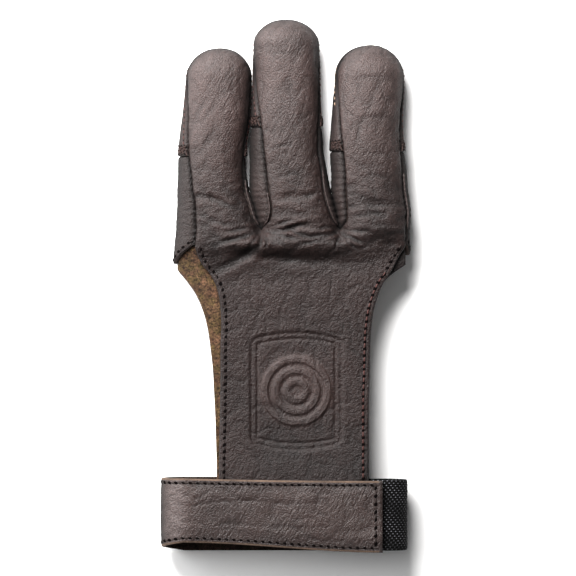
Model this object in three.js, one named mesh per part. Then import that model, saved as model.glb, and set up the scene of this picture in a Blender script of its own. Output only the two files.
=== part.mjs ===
// A three-finger archery glove in brown leather, lying palm down with its back up: three
// finger stalls with reinforced tips, a long panel down the back of the hand with a suede
// lining behind it, and a wrist strap closed by an elastic band.
// Millimetres. +X to the ring finger's side, +Y to the fingertips, +Z up. While it is made,
// x = 0 is the middle finger's centre line and y = 0 the line of the finger crotches.
import * as THREE from "three";

// Thicknesses, and the clearance between two pieces that are sewn together
const leatherThickness = 1.3;
const tipPadThickness = 1.7;
const suedeThickness = 1.1;
const strapThickness = 1.6;
const elasticThickness = 1.4;
const seamGap = 0.3;

// Finger stalls: outside width, height as they lie, length from crotch to tip, and the
// length of the rounded end
const indexWidth = 24.3;
const indexHeight = 16.6;
const indexLength = 65.4;
const indexRounding = 10.8;
const middleWidth = 24.5;
const middleHeight = 17;
const middleLength = 75.8;
const middleRounding = 9.4;
const ringWidth = 25;
const ringHeight = 16.4;
const ringLength = 66.6;
const ringRounding = 12.2;

// Where the tip pads begin, measured from the crotch
const indexPadStart = 26.2;
const middlePadStart = 36.8;
const ringPadStart = 28;

// How the stalls lie beside each other
const middleBaseShift = 5.2;
const stallClearance = 0.4;
const indexSplay = 1.1;
const ringSplay = 5.4;
const settle = 0.8;

// The hand: length from crotch to strap, the palm's short front, and the notches where the
// side gussets end
const handLength = 90.7;
const palmLength = 20.5;
const notchDrop = 5.4;
const indexHemDrop = 12.6;
const ringHemDrop = 9.4;

// The panel down the back of the hand, and the suede behind it
const panelWidth = 53.3;
const panelOffset = 2.9;
const panelHeight = 12.6;
const panelTuck = 18;
const suedeFlare = 11.2;
const suedeMargin = 0.9;
const suedeDroop = 3.2;
const suedeHemGap = 1.6;

// The wrist strap and the elastic band, a flattened loop. The strap's free end and the
// elastic's end under it lie past the panel's right edge.
const loopWidth = 89.2;
const loopHeight = 16;
const loopOffset = -0.6;
const strapWidth = 25.7;
const strapTaper = 3.6;
const strapPastPanel = 5.05;
const strapBackReach = 60;
const elasticWidth = 25.4;
const elasticInset = 0.3;
const elasticPastPanel = 0.95;
const elasticBackLap = 12;

// Section of a stall: 2 is an ellipse, more is squarer. The seams of the palm lie at this
// share of the half width.
const sectionPower = 2.3;
const palmSeamShare = 0.8;

// Faces across the back of a finger, its side and its front, and along it
const backFaces = 7;
const sideFaces = 3;
const palmFaces = 5;
const lowerRows = 7;
const upperRows = 4;
const roundedRows = 5;
const gussetRows = 3;

// Sections of each stall. at: share of its length. half: share of half its width.
// shift: share of middleBaseShift. splay: share of the stall's splay.
// left, right: where the back's seams lie, as shares of the half width there.
const indexSections = [
  { at: -0.2, half: 1.32, splay: 0, left: -0.53, right: 0.97 },
  { at: 0, half: 1.27, splay: 0, left: -0.53, right: 0.97 },
  { at: 0.06, half: 1.2, splay: 0, left: -0.53, right: 0.92 },
  { at: 0.15, half: 1.11, splay: 0.1, left: -0.53, right: 0.92 },
  { at: 0.26, half: 1.03, splay: 0.6, left: -0.6, right: 0.94 },
  { at: 0.36, half: 1, splay: 1, left: -0.67, right: 0.95 },
  { at: 0.48, half: 1, splay: 0.7, left: -0.76, right: 0.97 },
  { at: 0.62, half: 1, splay: 0.2, left: -0.85, right: 0.98 },
  { at: 0.84, half: 0.97, splay: 0.1, left: -0.98, right: 1 },
  { at: 1, half: 0.95, splay: 0.1, left: -1, right: 1 },
];
const middleSections = [
  { at: -0.2, half: 1.16, shift: 1, left: -0.97, right: 0.97 },
  { at: 0, half: 1.16, shift: 1, left: -0.97, right: 0.97 },
  { at: 0.04, half: 1.165, shift: 0.82, left: -0.75, right: 0.9 },
  { at: 0.09, half: 1.17, shift: 0.62, left: -0.62, right: 0.86 },
  { at: 0.18, half: 1.17, shift: 0.28, left: -0.56, right: 0.85 },
  { at: 0.27, half: 1.14, shift: 0.14, left: -0.58, right: 0.87 },
  { at: 0.38, half: 1.09, shift: 0, left: -0.63, right: 0.89 },
  { at: 0.53, half: 1.03, shift: 0, left: -0.77, right: 0.95 },
  { at: 0.62, half: 1, shift: 0, left: -0.88, right: 0.97 },
  { at: 0.82, half: 0.975, shift: 0, left: -1, right: 1 },
  { at: 1, half: 0.95, shift: 0, left: -1, right: 1 },
];
const ringSections = [
  { at: -0.2, half: 1.01, splay: 0, left: -0.97, right: 0.895 },
  { at: 0, half: 1.01, splay: 0, left: -0.97, right: 0.895 },
  { at: 0.04, half: 1.04, splay: 0, left: -0.82, right: 0.895 },
  { at: 0.1, half: 1.08, splay: 0, left: -0.74, right: 0.895 },
  { at: 0.2, half: 1.1, splay: 0.05, left: -0.67, right: 0.895 },
  { at: 0.3, half: 1.09, splay: 0.2, left: -0.65, right: 0.895 },
  { at: 0.43, half: 1.07, splay: 0.36, left: -0.67, right: 0.92 },
  { at: 0.6, half: 1.02, splay: 0.62, left: -0.8, right: 0.96 },
  { at: 0.78, half: 1, splay: 0.92, left: -0.95, right: 1 },
  { at: 1, half: 1, splay: 1, left: -1, right: 1 },
];

// Rows of the back panel from the notches to the strap. along: share of that length.
// left, right: how much of the flare is left at each edge. knuckle, wrist: how far the
// height follows the knuckles or the strap, the rest following panelHeight.
// suede: share of suedeFlare on the left.
const panelRows = [
  { along: 0, left: 1, right: 1, knuckle: 1, wrist: 0, suede: 1 },
  { along: 0.022, left: 0.97, right: 0.93, knuckle: 0.86, wrist: 0, suede: 1 },
  { along: 0.044, left: 0.91, right: 0.84, knuckle: 0.6, wrist: 0, suede: 1 },
  { along: 0.066, left: 0.83, right: 0.76, knuckle: 0.36, wrist: 0, suede: 1 },
  { along: 0.09, left: 0.7, right: 0.68, knuckle: 0.18, wrist: 0, suede: 1 },
  { along: 0.12, left: 0.46, right: 0.58, knuckle: 0.06, wrist: 0, suede: 0.99 },
  { along: 0.157, left: 0.25, right: 0.42, knuckle: 0, wrist: 0, suede: 0.91 },
  { along: 0.207, left: 0.09, right: 0.27, knuckle: 0, wrist: 0, suede: 0.77 },
  { along: 0.275, left: 0, right: 0.14, knuckle: 0, wrist: 0, suede: 0.6 },
  { along: 0.35, left: -0.03, right: 0.07, knuckle: 0, wrist: 0, suede: 0.46 },
  { along: 0.43, left: 0, right: 0.04, knuckle: 0, wrist: 0, suede: 0.34 },
  { along: 0.52, left: 0, right: 0.03, knuckle: 0, wrist: 0, suede: 0.26 },
  { along: 0.62, left: 0.01, right: 0.01, knuckle: 0, wrist: 0.02, suede: 0.21 },
  { along: 0.72, left: 0.02, right: 0, knuckle: 0, wrist: 0.1, suede: 0.16 },
  { along: 0.81, left: 0.04, right: 0, knuckle: 0, wrist: 0.28, suede: 0.12 },
  { along: 0.89, left: 0.05, right: 0, knuckle: 0, wrist: 0.6, suede: 0.09 },
  { along: 0.96, left: 0.06, right: 0, knuckle: 0, wrist: 0.92, suede: 0.07 },
];

// Folds pressed into the back. across: share of the hand's width from the index side.
// along: share of handLength below the crotches. deep: share of middleHeight.
// wide, long: half sizes as shares of the same. slant: shares of handLength for one width.
const folds = [
  { across: 0.42, along: 0.112, deep: 0.13, wide: 0.17, long: 0.02, slant: 0.05 },
  { across: 0.29, along: 0.1, deep: 0.06, wide: 0.05, long: 0.02, slant: 0.1 },
  { across: 0.68, along: 0.13, deep: 0.05, wide: 0.1, long: 0.02, slant: 0.04 },
  { across: 0.366, along: 0.03, deep: 0.07, wide: 0.016, long: 0.03, slant: 0 },
  { across: 0.702, along: 0.04, deep: 0.06, wide: 0.016, long: 0.04, slant: 0 },
  { across: 0.52, along: 0.0, deep: 0.05, wide: 0.08, long: 0.014, slant: -0.12 },
  { across: 0.16, along: -0.12, deep: 0.03, wide: 0.06, long: 0.014, slant: 0.1 },
  { across: 0.5, along: -0.13, deep: 0.035, wide: 0.06, long: 0.014, slant: -0.1 },
  { across: 0.85, along: -0.1, deep: 0.03, wide: 0.06, long: 0.014, slant: 0.1 },
];

const leatherColour = 0x5a4d4a;
const padColour = 0x63564f;
const gussetColour = 0x544845;
const suedeColour = 0x7a5f3c;
const strapColour = 0x564642;
const elasticColour = 0x1c1c1d;

// A column of a table at a place along it, on a smooth curve through its rows
function tableValue(rows, column, at) {
  const last = rows.length - 1;
  if (at <= rows[0].at) return rows[0][column];
  if (at >= rows[last].at) return rows[last][column];
  const i = rows.findIndex((row) => row.at > at) - 1;
  const slope = (k) => {
    const a = rows[Math.max(k - 1, 0)];
    const b = rows[Math.min(k + 1, last)];
    return (b[column] - a[column]) / (b.at - a.at);
  };
  const step = rows[i + 1].at - rows[i].at;
  const t = (at - rows[i].at) / step;
  const start = rows[i][column];
  const change = rows[i + 1][column] - start;
  const bend = (1 - t) * (slope(i) * step - change) - t * (slope(i + 1) * step - change);
  return start + change * t + t * (1 - t) * bend;
}

const mix = (a, b, t) => a + (b - a) * t;

const middle = {
  name: "middle",
  width: middleWidth,
  height: middleHeight,
  length: middleLength,
  rounding: middleRounding,
  padStart: middlePadStart,
  sections: middleSections,
  centre: (y) => middleBaseShift * tableValue(middleSections, "shift", y / middleLength),
};
const index = {
  name: "index",
  width: indexWidth,
  height: indexHeight,
  length: indexLength,
  rounding: indexRounding,
  padStart: indexPadStart,
  sections: indexSections,
  centre: (y) => middle.centre(y) - halfWidth(middle, y) - spacing(index, indexSplay, y) - halfWidth(index, y),
};
const ring = {
  name: "ring",
  width: ringWidth,
  height: ringHeight,
  length: ringLength,
  rounding: ringRounding,
  padStart: ringPadStart,
  sections: ringSections,
  centre: (y) => middle.centre(y) + halfWidth(middle, y) + spacing(ring, ringSplay, y) + halfWidth(ring, y),
};

function halfWidth(stall, y) {
  return (stall.width / 2) * tableValue(stall.sections, "half", y / stall.length);
}

// The space between a stall and the middle one, closing at the crotch
function spacing(stall, splay, y) {
  const opening = Math.min(Math.max(y / (4 * leatherThickness), 0), 1);
  return stallClearance * opening + splay * tableValue(stall.sections, "splay", y / stall.length);
}

// How much of its full section a stall keeps in its rounded end
function roundedShare(stall, y) {
  const into = (y - (stall.length - stall.rounding)) / stall.rounding;
  return into <= 0 ? 1 : Math.sqrt(Math.max(1 - into * into, 0));
}

// The section's angle, 0 on the right and 90 degrees on top, at a share of the half width
function seamAngle(share) {
  const angle = Math.acos(Math.min(Math.abs(share), 1) ** (sectionPower / 2));
  return share < 0 ? Math.PI - angle : angle;
}

function stallPoint(stall, y, angle) {
  const squarer = (v) => Math.sign(v) * Math.abs(v) ** (2 / sectionPower);
  const share = roundedShare(stall, y);
  const x = stall.centre(y) + halfWidth(stall, y) * share * squarer(Math.cos(angle));
  const half = stall.height / 2;
  const z = half + half * share * squarer(Math.sin(angle)) - settle;
  return new THREE.Vector3(x, y, Math.max(z, 0));
}

// The angles of a stall's columns at y, from the back's right seam over the top to the
// left, down the side, along the front and up again
function columnAngles(stall, y) {
  const at = y / stall.length;
  const right = seamAngle(tableValue(stall.sections, "right", at));
  const left = seamAngle(tableValue(stall.sections, "left", at));
  const palmLeft = 2 * Math.PI - seamAngle(-palmSeamShare);
  const palmRight = 2 * Math.PI - seamAngle(palmSeamShare);
  const corners = [right, left, palmLeft, palmRight, right + 2 * Math.PI];
  const counts = [backFaces, sideFaces, palmFaces, sideFaces];
  const angles = [];
  counts.forEach((count, part) => {
    for (let i = 0; i < count; i++) angles.push(mix(corners[part], corners[part + 1], i / count));
  });
  return angles;
}

// The hand's outline at the crotches, which folds and shares across are measured in
const handLeft = stallPoint(index, 0, Math.PI).x;
const handRight = stallPoint(ring, 0, 0).x;

function foldDepth(x, y) {
  const across = (x - handLeft) / (handRight - handLeft);
  const along = -y / handLength;
  let depth = 0;
  for (const fold of folds) {
    const u = (across - fold.across) / fold.wide;
    const v = (along - fold.along - fold.slant * (across - fold.across)) / fold.long;
    depth += fold.deep * middleHeight * Math.exp(-u * u - v * v);
  }
  return depth;
}

// The glove's skin: points shared by the faces on both sides of a seam, each face naming
// the piece that it belongs to
class Skin {
  points = [];
  faces = [];

  add(point) {
    this.points.push(point);
    return this.points.length - 1;
  }

  face(piece, corners) {
    const distinct = corners.filter((corner, i) => corners.indexOf(corner) === i);
    if (distinct.length > 2) this.faces.push({ piece, corners: distinct });
  }

  // Faces between two rows of points, the first row being the one nearer the wrist
  band(lower, upper, pieceOf) {
    for (let i = 0; i + 1 < lower.length; i++) {
      this.face(pieceOf(i), [lower[i], upper[i], upper[i + 1], lower[i + 1]]);
    }
  }

  normals() {
    const normals = this.points.map(() => new THREE.Vector3());
    for (const { corners } of this.faces) {
      const n = faceNormal(corners.map((corner) => this.points[corner]));
      for (const corner of corners) normals[corner].add(n);
    }
    return normals.map((n) => n.normalize());
  }
}

function faceNormal(points) {
  const normal = new THREE.Vector3();
  for (let i = 1; i + 1 < points.length; i++) {
    const a = points[i].clone().sub(points[0]);
    const b = points[i + 1].clone().sub(points[0]);
    normal.add(a.cross(b));
  }
  return normal;
}

// One piece of a skin as a closed wall: its outer faces, the same faces set in by the
// thickness, and the cut edge between them, drawn back from the seam by half the gap
function wallOf(skin, normals, piece, thickness) {
  const faces = skin.faces.filter((face) => face.piece === piece);
  const inward = new Map();
  const edges = new Map();
  for (const { corners } of faces) {
    corners.forEach((a, i) => {
      const b = corners[(i + 1) % corners.length];
      if (edges.has(b + " " + a)) edges.delete(b + " " + a);
      else edges.set(a + " " + b, [a, b]);
    });
  }
  for (const [a, b] of edges.values()) {
    const along = skin.points[b].clone().sub(skin.points[a]).normalize();
    for (const end of [a, b]) {
      const side = normals[end].clone().cross(along).normalize();
      inward.set(end, (inward.get(end) ?? new THREE.Vector3()).add(side));
    }
  }

  const places = new Map();
  const positions = [];
  const place = (id) => {
    if (!places.has(id)) {
      const outer = skin.points[id].clone();
      if (inward.has(id)) outer.addScaledVector(inward.get(id).normalize(), seamGap / 2);
      const inner = outer.clone().addScaledVector(normals[id], -thickness);
      places.set(id, positions.length / 3);
      positions.push(...outer, ...inner);
    }
    return places.get(id);
  };
  const triangles = [];
  for (const { corners } of faces) {
    const ids = corners.map(place);
    for (let i = 1; i + 1 < ids.length; i++) {
      triangles.push(ids[0], ids[i], ids[i + 1]);
      triangles.push(ids[0] + 1, ids[i + 1] + 1, ids[i] + 1);
    }
  }
  for (const [a, b] of edges.values()) {
    const p = place(a);
    const q = place(b);
    triangles.push(p, p + 1, q + 1, p, q + 1, q);
  }

  const geometry = new THREE.BufferGeometry();
  geometry.setAttribute("position", new THREE.Float32BufferAttribute(positions, 3));
  geometry.setIndex(triangles);
  return geometry;
}

// Places along a stall: closer near the crotch, one row on the pad's edge, then the
// rounded end by equal angles
function stallPlaces(stall) {
  const straight = stall.length - stall.rounding;
  const places = [];
  for (let i = 0; i < lowerRows; i++) places.push(stall.padStart * (i / lowerRows) ** 1.4);
  for (let i = 0; i < upperRows; i++) places.push(mix(stall.padStart, straight, i / upperRows));
  for (let i = 0; i <= roundedRows; i++) {
    places.push(straight + stall.rounding * Math.sin(((i / roundedRows) * Math.PI) / 2));
  }
  return places;
}

const skin = new Skin();
const columns = backFaces + 2 * sideFaces + palmFaces;

// The lowest ring of each stall. Neighbours share the column of points in their crotch.
function crotchRings() {
  const rings = new Map();
  const raw = (stall) => columnAngles(stall, 0).map((angle) => stallPoint(stall, 0, angle));
  for (const stall of [index, middle, ring]) rings.set(stall, raw(stall));
  const ids = new Map([index, middle, ring].map((stall) => [stall, []]));
  for (const [left, right] of [[index, middle], [middle, ring]]) {
    for (let m = 0; m <= sideFaces; m++) {
      const a = (columns - m) % columns;
      const b = backFaces + m;
      const shared = rings.get(left)[a].clone().add(rings.get(right)[b]).multiplyScalar(0.5);
      const id = skin.add(shared);
      ids.get(left)[a] = id;
      ids.get(right)[b] = id;
    }
  }
  for (const [stall, row] of ids) {
    for (let j = 0; j < columns; j++) row[j] ??= skin.add(rings.get(stall)[j]);
  }
  for (const row of ids.values()) {
    for (const id of new Set(row.slice(0, backFaces + 1))) sink(id);
  }
  return ids;
}

// Presses the folds into a point of the back, once
const sunk = new Set();
function sink(id) {
  if (sunk.has(id)) return;
  sunk.add(id);
  const point = skin.points[id];
  point.z -= foldDepth(point.x, point.y);
}

const sidePieces = {
  index: ["index_side_gusset", "index_middle_fourchette"],
  middle: ["index_middle_fourchette", "middle_ring_fourchette"],
  ring: ["middle_ring_fourchette", "ring_side_gusset"],
};

function addStall(stall, firstRing) {
  const [leftPiece, rightPiece] = sidePieces[stall.name];
  let lower = firstRing;
  const places = stallPlaces(stall);
  for (let k = 1; k < places.length; k++) {
    const y = places[k];
    const tip = k === places.length - 1;
    const upper = [];
    if (tip) {
      const id = skin.add(stallPoint(stall, stall.length, 0));
      for (let j = 0; j < columns; j++) upper.push(id);
    } else {
      columnAngles(stall, y).forEach((angle, j) => {
        upper.push(skin.add(stallPoint(stall, y, angle)));
        if (j <= backFaces) sink(upper[j]);
      });
    }
    const inPad = places[k] > stall.padStart + 1e-6;
    skin.band([...lower, lower[0]], [...upper, upper[0]], (j) => {
      if (j < backFaces) return "back_panel";
      if (inPad) return stall.name + "_tip_pad";
      if (j < backFaces + sideFaces) return leftPiece;
      if (j < backFaces + sideFaces + palmFaces) return "palm_panel";
      return rightPiece;
    });
    lower = upper;
  }
}

// How far below the crotches the hem of the hand's tube lies, for each of its columns: the
// notches on the back, the gussets' slanting hems, and the palm's bowed edge
function hemDrop(part, share) {
  if (part === "back") return notchDrop;
  if (part === "left") return mix(notchDrop, indexHemDrop, Math.min(2 * share, 1));
  if (part === "right") return mix(ringHemDrop, notchDrop, Math.max(2 * share - 1, 0));
  const corner = mix(indexHemDrop, ringHemDrop, share);
  return corner + (palmLength - corner) * Math.sin(share * Math.PI);
}

// The hand's tube between the crotches and the hem: the backs of all three fingers from
// the ring finger's side to the index finger's, the index side, the palm, the ring side
function addHand(rings) {
  const back = [];
  const palm = [];
  for (const stall of [ring, middle, index]) back.push(...rings.get(stall).slice(0, backFaces));
  back.push(rings.get(index)[backFaces]);
  for (const stall of [index, middle, ring]) {
    palm.push(...rings.get(stall).slice(backFaces + sideFaces, backFaces + sideFaces + palmFaces));
  }
  palm.push(rings.get(ring)[backFaces + sideFaces + palmFaces]);
  const left = rings.get(index).slice(backFaces, backFaces + sideFaces + 1);
  const right = [...rings.get(ring).slice(columns - sideFaces), rings.get(ring)[0]];

  const rows = [{ back, palm, left, right }];
  for (let r = 1; r <= gussetRows; r++) {
    const share = r / gussetRows;
    const side = (stall, first, count, part) => {
      const ids = [];
      for (let m = 0; m <= count; m++) {
        const y = -hemDrop(part, m / count) * share;
        const angles = columnAngles(stall, y);
        ids.push(skin.add(stallPoint(stall, y, angles[(first + m) % columns])));
      }
      return ids;
    };
    const leftIds = side(index, backFaces, sideFaces, "left");
    const rightIds = side(ring, columns - sideFaces, sideFaces, "right");
    const between = (firstRow, part, startId, endId) => {
      const start = skin.points[startId];
      const end = skin.points[endId];
      const above = firstRow.map((id) => skin.points[id]);
      const span = above[above.length - 1].x - above[0].x;
      return firstRow.map((id, i) => {
        if (i === 0) return startId;
        if (i === firstRow.length - 1) return endId;
        const across = (above[i].x - above[0].x) / span;
        const x = mix(start.x, end.x, across);
        const y = above[i].y * (1 - share) - hemDrop(part, across) * share;
        const settled = mix(start.z, end.z, across) + crownAt(part, across);
        const from = above[i].z + (part === "back" ? foldDepth(above[i].x, above[i].y) : 0);
        return skin.add(new THREE.Vector3(x, y, Math.max(mix(from, settled, share), 0)));
      });
    };
    const backIds = between(back, "back", rightIds[sideFaces], leftIds[0]);
    const palmIds = between(palm, "palm", leftIds[sideFaces], rightIds[0]);
    backIds.forEach(sink);
    rows.push({ back: backIds, palm: palmIds, left: leftIds, right: rightIds });
  }
  for (let r = 0; r < gussetRows; r++) {
    skin.band(rows[r + 1].back, rows[r].back, () => "back_panel");
    skin.band(rows[r + 1].left, rows[r].left, () => "index_side_gusset");
    skin.band(rows[r + 1].palm, rows[r].palm, () => "palm_panel");
    skin.band(rows[r + 1].right, rows[r].right, () => "ring_side_gusset");
  }
  return rows[gussetRows].back;
}

// The back is highest between its seams, and the palm lies on the ground between its own
function crownAt(part, across) {
  const bow = 4 * across * (1 - across);
  if (part === "back") return bow * (middleHeight - settle - notchSeamMean());
  return -Math.min(bow * 3, 1) * middleHeight;
}

function notchSeamMean() {
  return (seamAtNotch(index, "left").z + seamAtNotch(ring, "right").z) / 2;
}

function seamAtNotch(stall, column) {
  const share = tableValue(stall.sections, column, -notchDrop / stall.length);
  return stallPoint(stall, -notchDrop, seamAngle(share));
}

const waistLeft = panelOffset - panelWidth / 2;
const waistRight = panelOffset + panelWidth / 2;
const strapTop = -handLength;
const panelEnd = strapTop - panelTuck;
const wristHeight = loopHeight - strapThickness - seamGap;

// The rest of the back panel, from the notches down to its end under the strap
function addPanel(firstRow) {
  const points = firstRow.map((id) => skin.points[id]);
  const last = points.length - 1;
  const shares = points.map((point) => (point.x - points[last].x) / (points[0].x - points[last].x));
  const unfolded = points.map((point) => point.z + foldDepth(point.x, point.y));
  const tuckRows = [0.25, 0.6, 1].map((share) => ({ ...panelRows[panelRows.length - 1], wrist: 1, tuck: share }));
  const grid = [firstRow];
  for (const row of [...panelRows.slice(1), ...tuckRows]) {
    const y = row.tuck
      ? mix(strapTop, panelEnd, row.tuck)
      : mix(-notchDrop, strapTop, row.along);
    const leftEdge = mix(waistLeft, points[last].x, row.left);
    const rightEdge = mix(waistRight, points[0].x, row.right);
    const ids = shares.map((share, i) => {
      const x = mix(leftEdge, rightEdge, share);
      const flat = 1 - row.knuckle - row.wrist;
      const z = row.knuckle * unfolded[i] + row.wrist * wristHeight + flat * panelHeight;
      return skin.add(new THREE.Vector3(x, y, z));
    });
    if (!row.tuck) ids.forEach(sink);
    skin.band(ids, grid[grid.length - 1], () => "back_panel");
    grid.push(ids);
  }
  return { grid, rows: [...panelRows, ...tuckRows] };
}

// The suede behind the panel: set in from it by its thickness, and wider on both sides,
// where it droops. Beside the notches it stops short of the gussets' hems.
function suedeSkin(panel, normals) {
  const suede = new Skin();
  const wingShares = [1, 0.66, 0.33];
  let above = null;
  panel.grid.forEach((ids, r) => {
    if (r === 0) return;
    const row = panel.rows[r];
    const centre = ids.map((id) => {
      const inset = leatherThickness + seamGap;
      return skin.points[id].clone().addScaledVector(normals[id], -inset);
    });
    const rightEnd = centre[0];
    const leftEnd = centre[centre.length - 1];
    const wing = (end, side, reach, share) => {
      const droop = suedeDroop * ((reach * share) / suedeFlare) ** 1.5;
      return new THREE.Vector3(end.x + side * reach * share, end.y, end.z - droop);
    };
    const y = leftEnd.y;
    const leftReach = Math.min(suedeFlare * row.suede, leftEnd.x - hemSide(index, y, -1));
    const rightReach = row.tuck
      ? suedeMargin
      : Math.min(suedeMargin + suedeFlare * 2 * row.knuckle, hemSide(ring, y, 1) - rightEnd.x);
    const line = [
      ...wingShares.map((share) => wing(rightEnd, 1, rightReach, share)),
      ...centre,
      ...wingShares.toReversed().map((share) => wing(leftEnd, -1, leftReach, share)),
    ];
    const added = line.map((point) => suede.add(point));
    if (above) suede.band(added, above, () => "suede_lining");
    above = added;
  });
  return suede;
}

// The outer edge that the suede may reach beside a notch: the gusset's slanting hem, and
// below the hem's corner the corner itself
function hemSide(stall, y, side) {
  const drop = side < 0 ? indexHemDrop : ringHemDrop;
  const column = side < 0 ? "left" : "right";
  const seam = seamAngle(tableValue(stall.sections, column, y / stall.length));
  const down = Math.min(Math.max((-y - notchDrop) / (drop - notchDrop), 0), 1);
  const angle = mix(seam, side < 0 ? Math.PI : 0, down);
  return stallPoint(stall, y, angle).x - side * suedeHemGap;
}

// A flattened loop's path in the XZ plane: along the top, round one fold, along the bottom.
// side is -1 for the left fold and 1 for the right.
function loopPath({ topStart, fold, top, bottom, bottomEnd, side, topSteps }) {
  const radius = (top - bottom) / 2;
  const turnX = fold - side * radius;
  const path = [];
  for (let i = 0; i <= topSteps; i++) {
    path.push({ x: mix(topStart, turnX, i / topSteps), z: top, front: i / topSteps, turn: 0 });
  }
  const turns = 10;
  for (let i = 1; i < turns; i++) {
    const angle = (i / turns) * Math.PI;
    path.push({
      x: turnX + side * radius * Math.sin(angle),
      z: bottom + radius + radius * Math.cos(angle),
      front: 1,
      turn: i / turns,
    });
  }
  for (let i = 0; i <= 3; i++) {
    path.push({ x: mix(turnX, bottomEnd, i / 3), z: bottom, front: 1, turn: 1 });
  }
  return path;
}

// A band of leather or webbing on a loop's path, with its upper and lower edge at each place
function bandSkin(piece, path, upperEdge, lowerEdge, side) {
  const band = new Skin();
  const rows = path.map((place) => {
    return [0, 0.5, 1].map((share) => {
      const y = mix(upperEdge(place), lowerEdge(place), share);
      return band.add(new THREE.Vector3(place.x, y, place.z));
    });
  });
  for (let i = 0; i + 1 < rows.length; i++) {
    const [a, b] = side < 0 ? [rows[i], rows[i + 1]] : [rows[i + 1], rows[i]];
    band.band(a, b, () => piece);
  }
  return band;
}

const loopLeft = loopOffset - loopWidth / 2;
const loopRight = loopOffset + loopWidth / 2;
const strapEnd = waistRight + strapPastPanel;

function strapSkin() {
  const path = loopPath({
    topStart: strapEnd,
    fold: loopLeft,
    top: loopHeight,
    bottom: 0,
    bottomEnd: loopLeft + strapBackReach,
    side: -1,
    topSteps: 12,
  });
  const narrowing = (place) => {
    const eased = place.front * place.front * (3 - 2 * place.front);
    return strapTaper * eased * (1 - place.turn);
  };
  const upper = (place) => strapTop + 0.25 * strapTaper * (place.front * place.front);
  const lower = (place) => strapTop - strapWidth + narrowing(place);
  return bandSkin("wrist_strap", path, upper, lower, -1);
}

function elasticSkin() {
  const path = loopPath({
    topStart: waistRight + elasticPastPanel,
    fold: loopRight - elasticInset,
    top: wristHeight,
    bottom: strapThickness + seamGap,
    bottomEnd: loopLeft + strapBackReach - elasticBackLap,
    side: 1,
    topSteps: 3,
  });
  const upper = () => strapTop + elasticInset;
  const lower = () => strapTop + elasticInset - elasticWidth;
  return bandSkin("elastic_band", path, upper, lower, 1);
}

function leather(colour, roughness) {
  return new THREE.MeshStandardMaterial({ color: colour, roughness, metalness: 0 });
}

function pieceMesh(piece, pieceSkin, normals, thickness, material) {
  const mesh = new THREE.Mesh(wallOf(pieceSkin, normals, piece, thickness), material);
  mesh.name = piece;
  return mesh;
}

const rings = crotchRings();
for (const stall of [index, middle, ring]) addStall(stall, rings.get(stall));
const panel = addPanel(addHand(rings));
const normals = skin.normals();

const glove = new THREE.Group();
const shellPieces = [
  { name: "back_panel", thickness: leatherThickness, colour: leatherColour },
  { name: "palm_panel", thickness: leatherThickness, colour: gussetColour },
  { name: "index_tip_pad", thickness: tipPadThickness, colour: padColour },
  { name: "middle_tip_pad", thickness: tipPadThickness, colour: padColour },
  { name: "ring_tip_pad", thickness: tipPadThickness, colour: padColour },
  { name: "index_side_gusset", thickness: leatherThickness, colour: gussetColour },
  { name: "index_middle_fourchette", thickness: leatherThickness, colour: gussetColour },
  { name: "middle_ring_fourchette", thickness: leatherThickness, colour: gussetColour },
  { name: "ring_side_gusset", thickness: leatherThickness, colour: gussetColour },
];
for (const { name, thickness, colour } of shellPieces) {
  glove.add(pieceMesh(name, skin, normals, thickness, leather(colour, 0.55)));
}

const suede = suedeSkin(panel, normals);
glove.add(pieceMesh("suede_lining", suede, suede.normals(), suedeThickness, leather(suedeColour, 0.95)));
const strap = strapSkin();
glove.add(pieceMesh("wrist_strap", strap, strap.normals(), strapThickness, leather(strapColour, 0.5)));
const elastic = elasticSkin();
glove.add(pieceMesh("elastic_band", elastic, elastic.normals(), elasticThickness, leather(elasticColour, 0.9)));

// The origin is the middle of the glove's underside
const box = new THREE.Box3().setFromObject(glove);
glove.position.set(-(box.min.x + box.max.x) / 2, -(box.min.y + box.max.y) / 2, -box.min.z);

export default glove;
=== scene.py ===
# The looks of a three-finger archery glove in brown leather, lying on its palm: its leather
# with creases and grain, turned seams, stitching, suede lining and woven elastic.
# The pieces are worked out in millimetres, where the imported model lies, and made in metres.
import math

import bpy
import numpy as np
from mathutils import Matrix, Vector, kdtree, noise


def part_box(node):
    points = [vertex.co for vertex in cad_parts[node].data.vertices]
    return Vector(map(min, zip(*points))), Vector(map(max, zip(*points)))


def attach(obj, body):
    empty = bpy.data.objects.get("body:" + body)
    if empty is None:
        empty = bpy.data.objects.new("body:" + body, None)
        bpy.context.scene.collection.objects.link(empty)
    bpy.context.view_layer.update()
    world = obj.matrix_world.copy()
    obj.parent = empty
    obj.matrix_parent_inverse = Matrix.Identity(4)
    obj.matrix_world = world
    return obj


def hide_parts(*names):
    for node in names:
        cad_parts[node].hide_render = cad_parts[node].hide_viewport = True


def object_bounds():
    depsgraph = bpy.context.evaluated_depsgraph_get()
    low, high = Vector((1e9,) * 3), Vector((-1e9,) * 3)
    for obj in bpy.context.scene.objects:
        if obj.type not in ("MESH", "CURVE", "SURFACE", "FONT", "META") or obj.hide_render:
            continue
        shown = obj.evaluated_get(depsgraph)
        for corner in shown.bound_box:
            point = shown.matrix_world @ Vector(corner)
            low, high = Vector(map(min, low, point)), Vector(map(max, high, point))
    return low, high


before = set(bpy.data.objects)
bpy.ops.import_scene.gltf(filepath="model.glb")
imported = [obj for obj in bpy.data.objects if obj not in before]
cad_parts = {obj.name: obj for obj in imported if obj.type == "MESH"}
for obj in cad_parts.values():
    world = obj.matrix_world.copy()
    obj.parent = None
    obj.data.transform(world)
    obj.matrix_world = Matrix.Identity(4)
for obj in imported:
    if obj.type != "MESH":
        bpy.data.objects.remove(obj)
cad_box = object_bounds()

MM = 0.001

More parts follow.
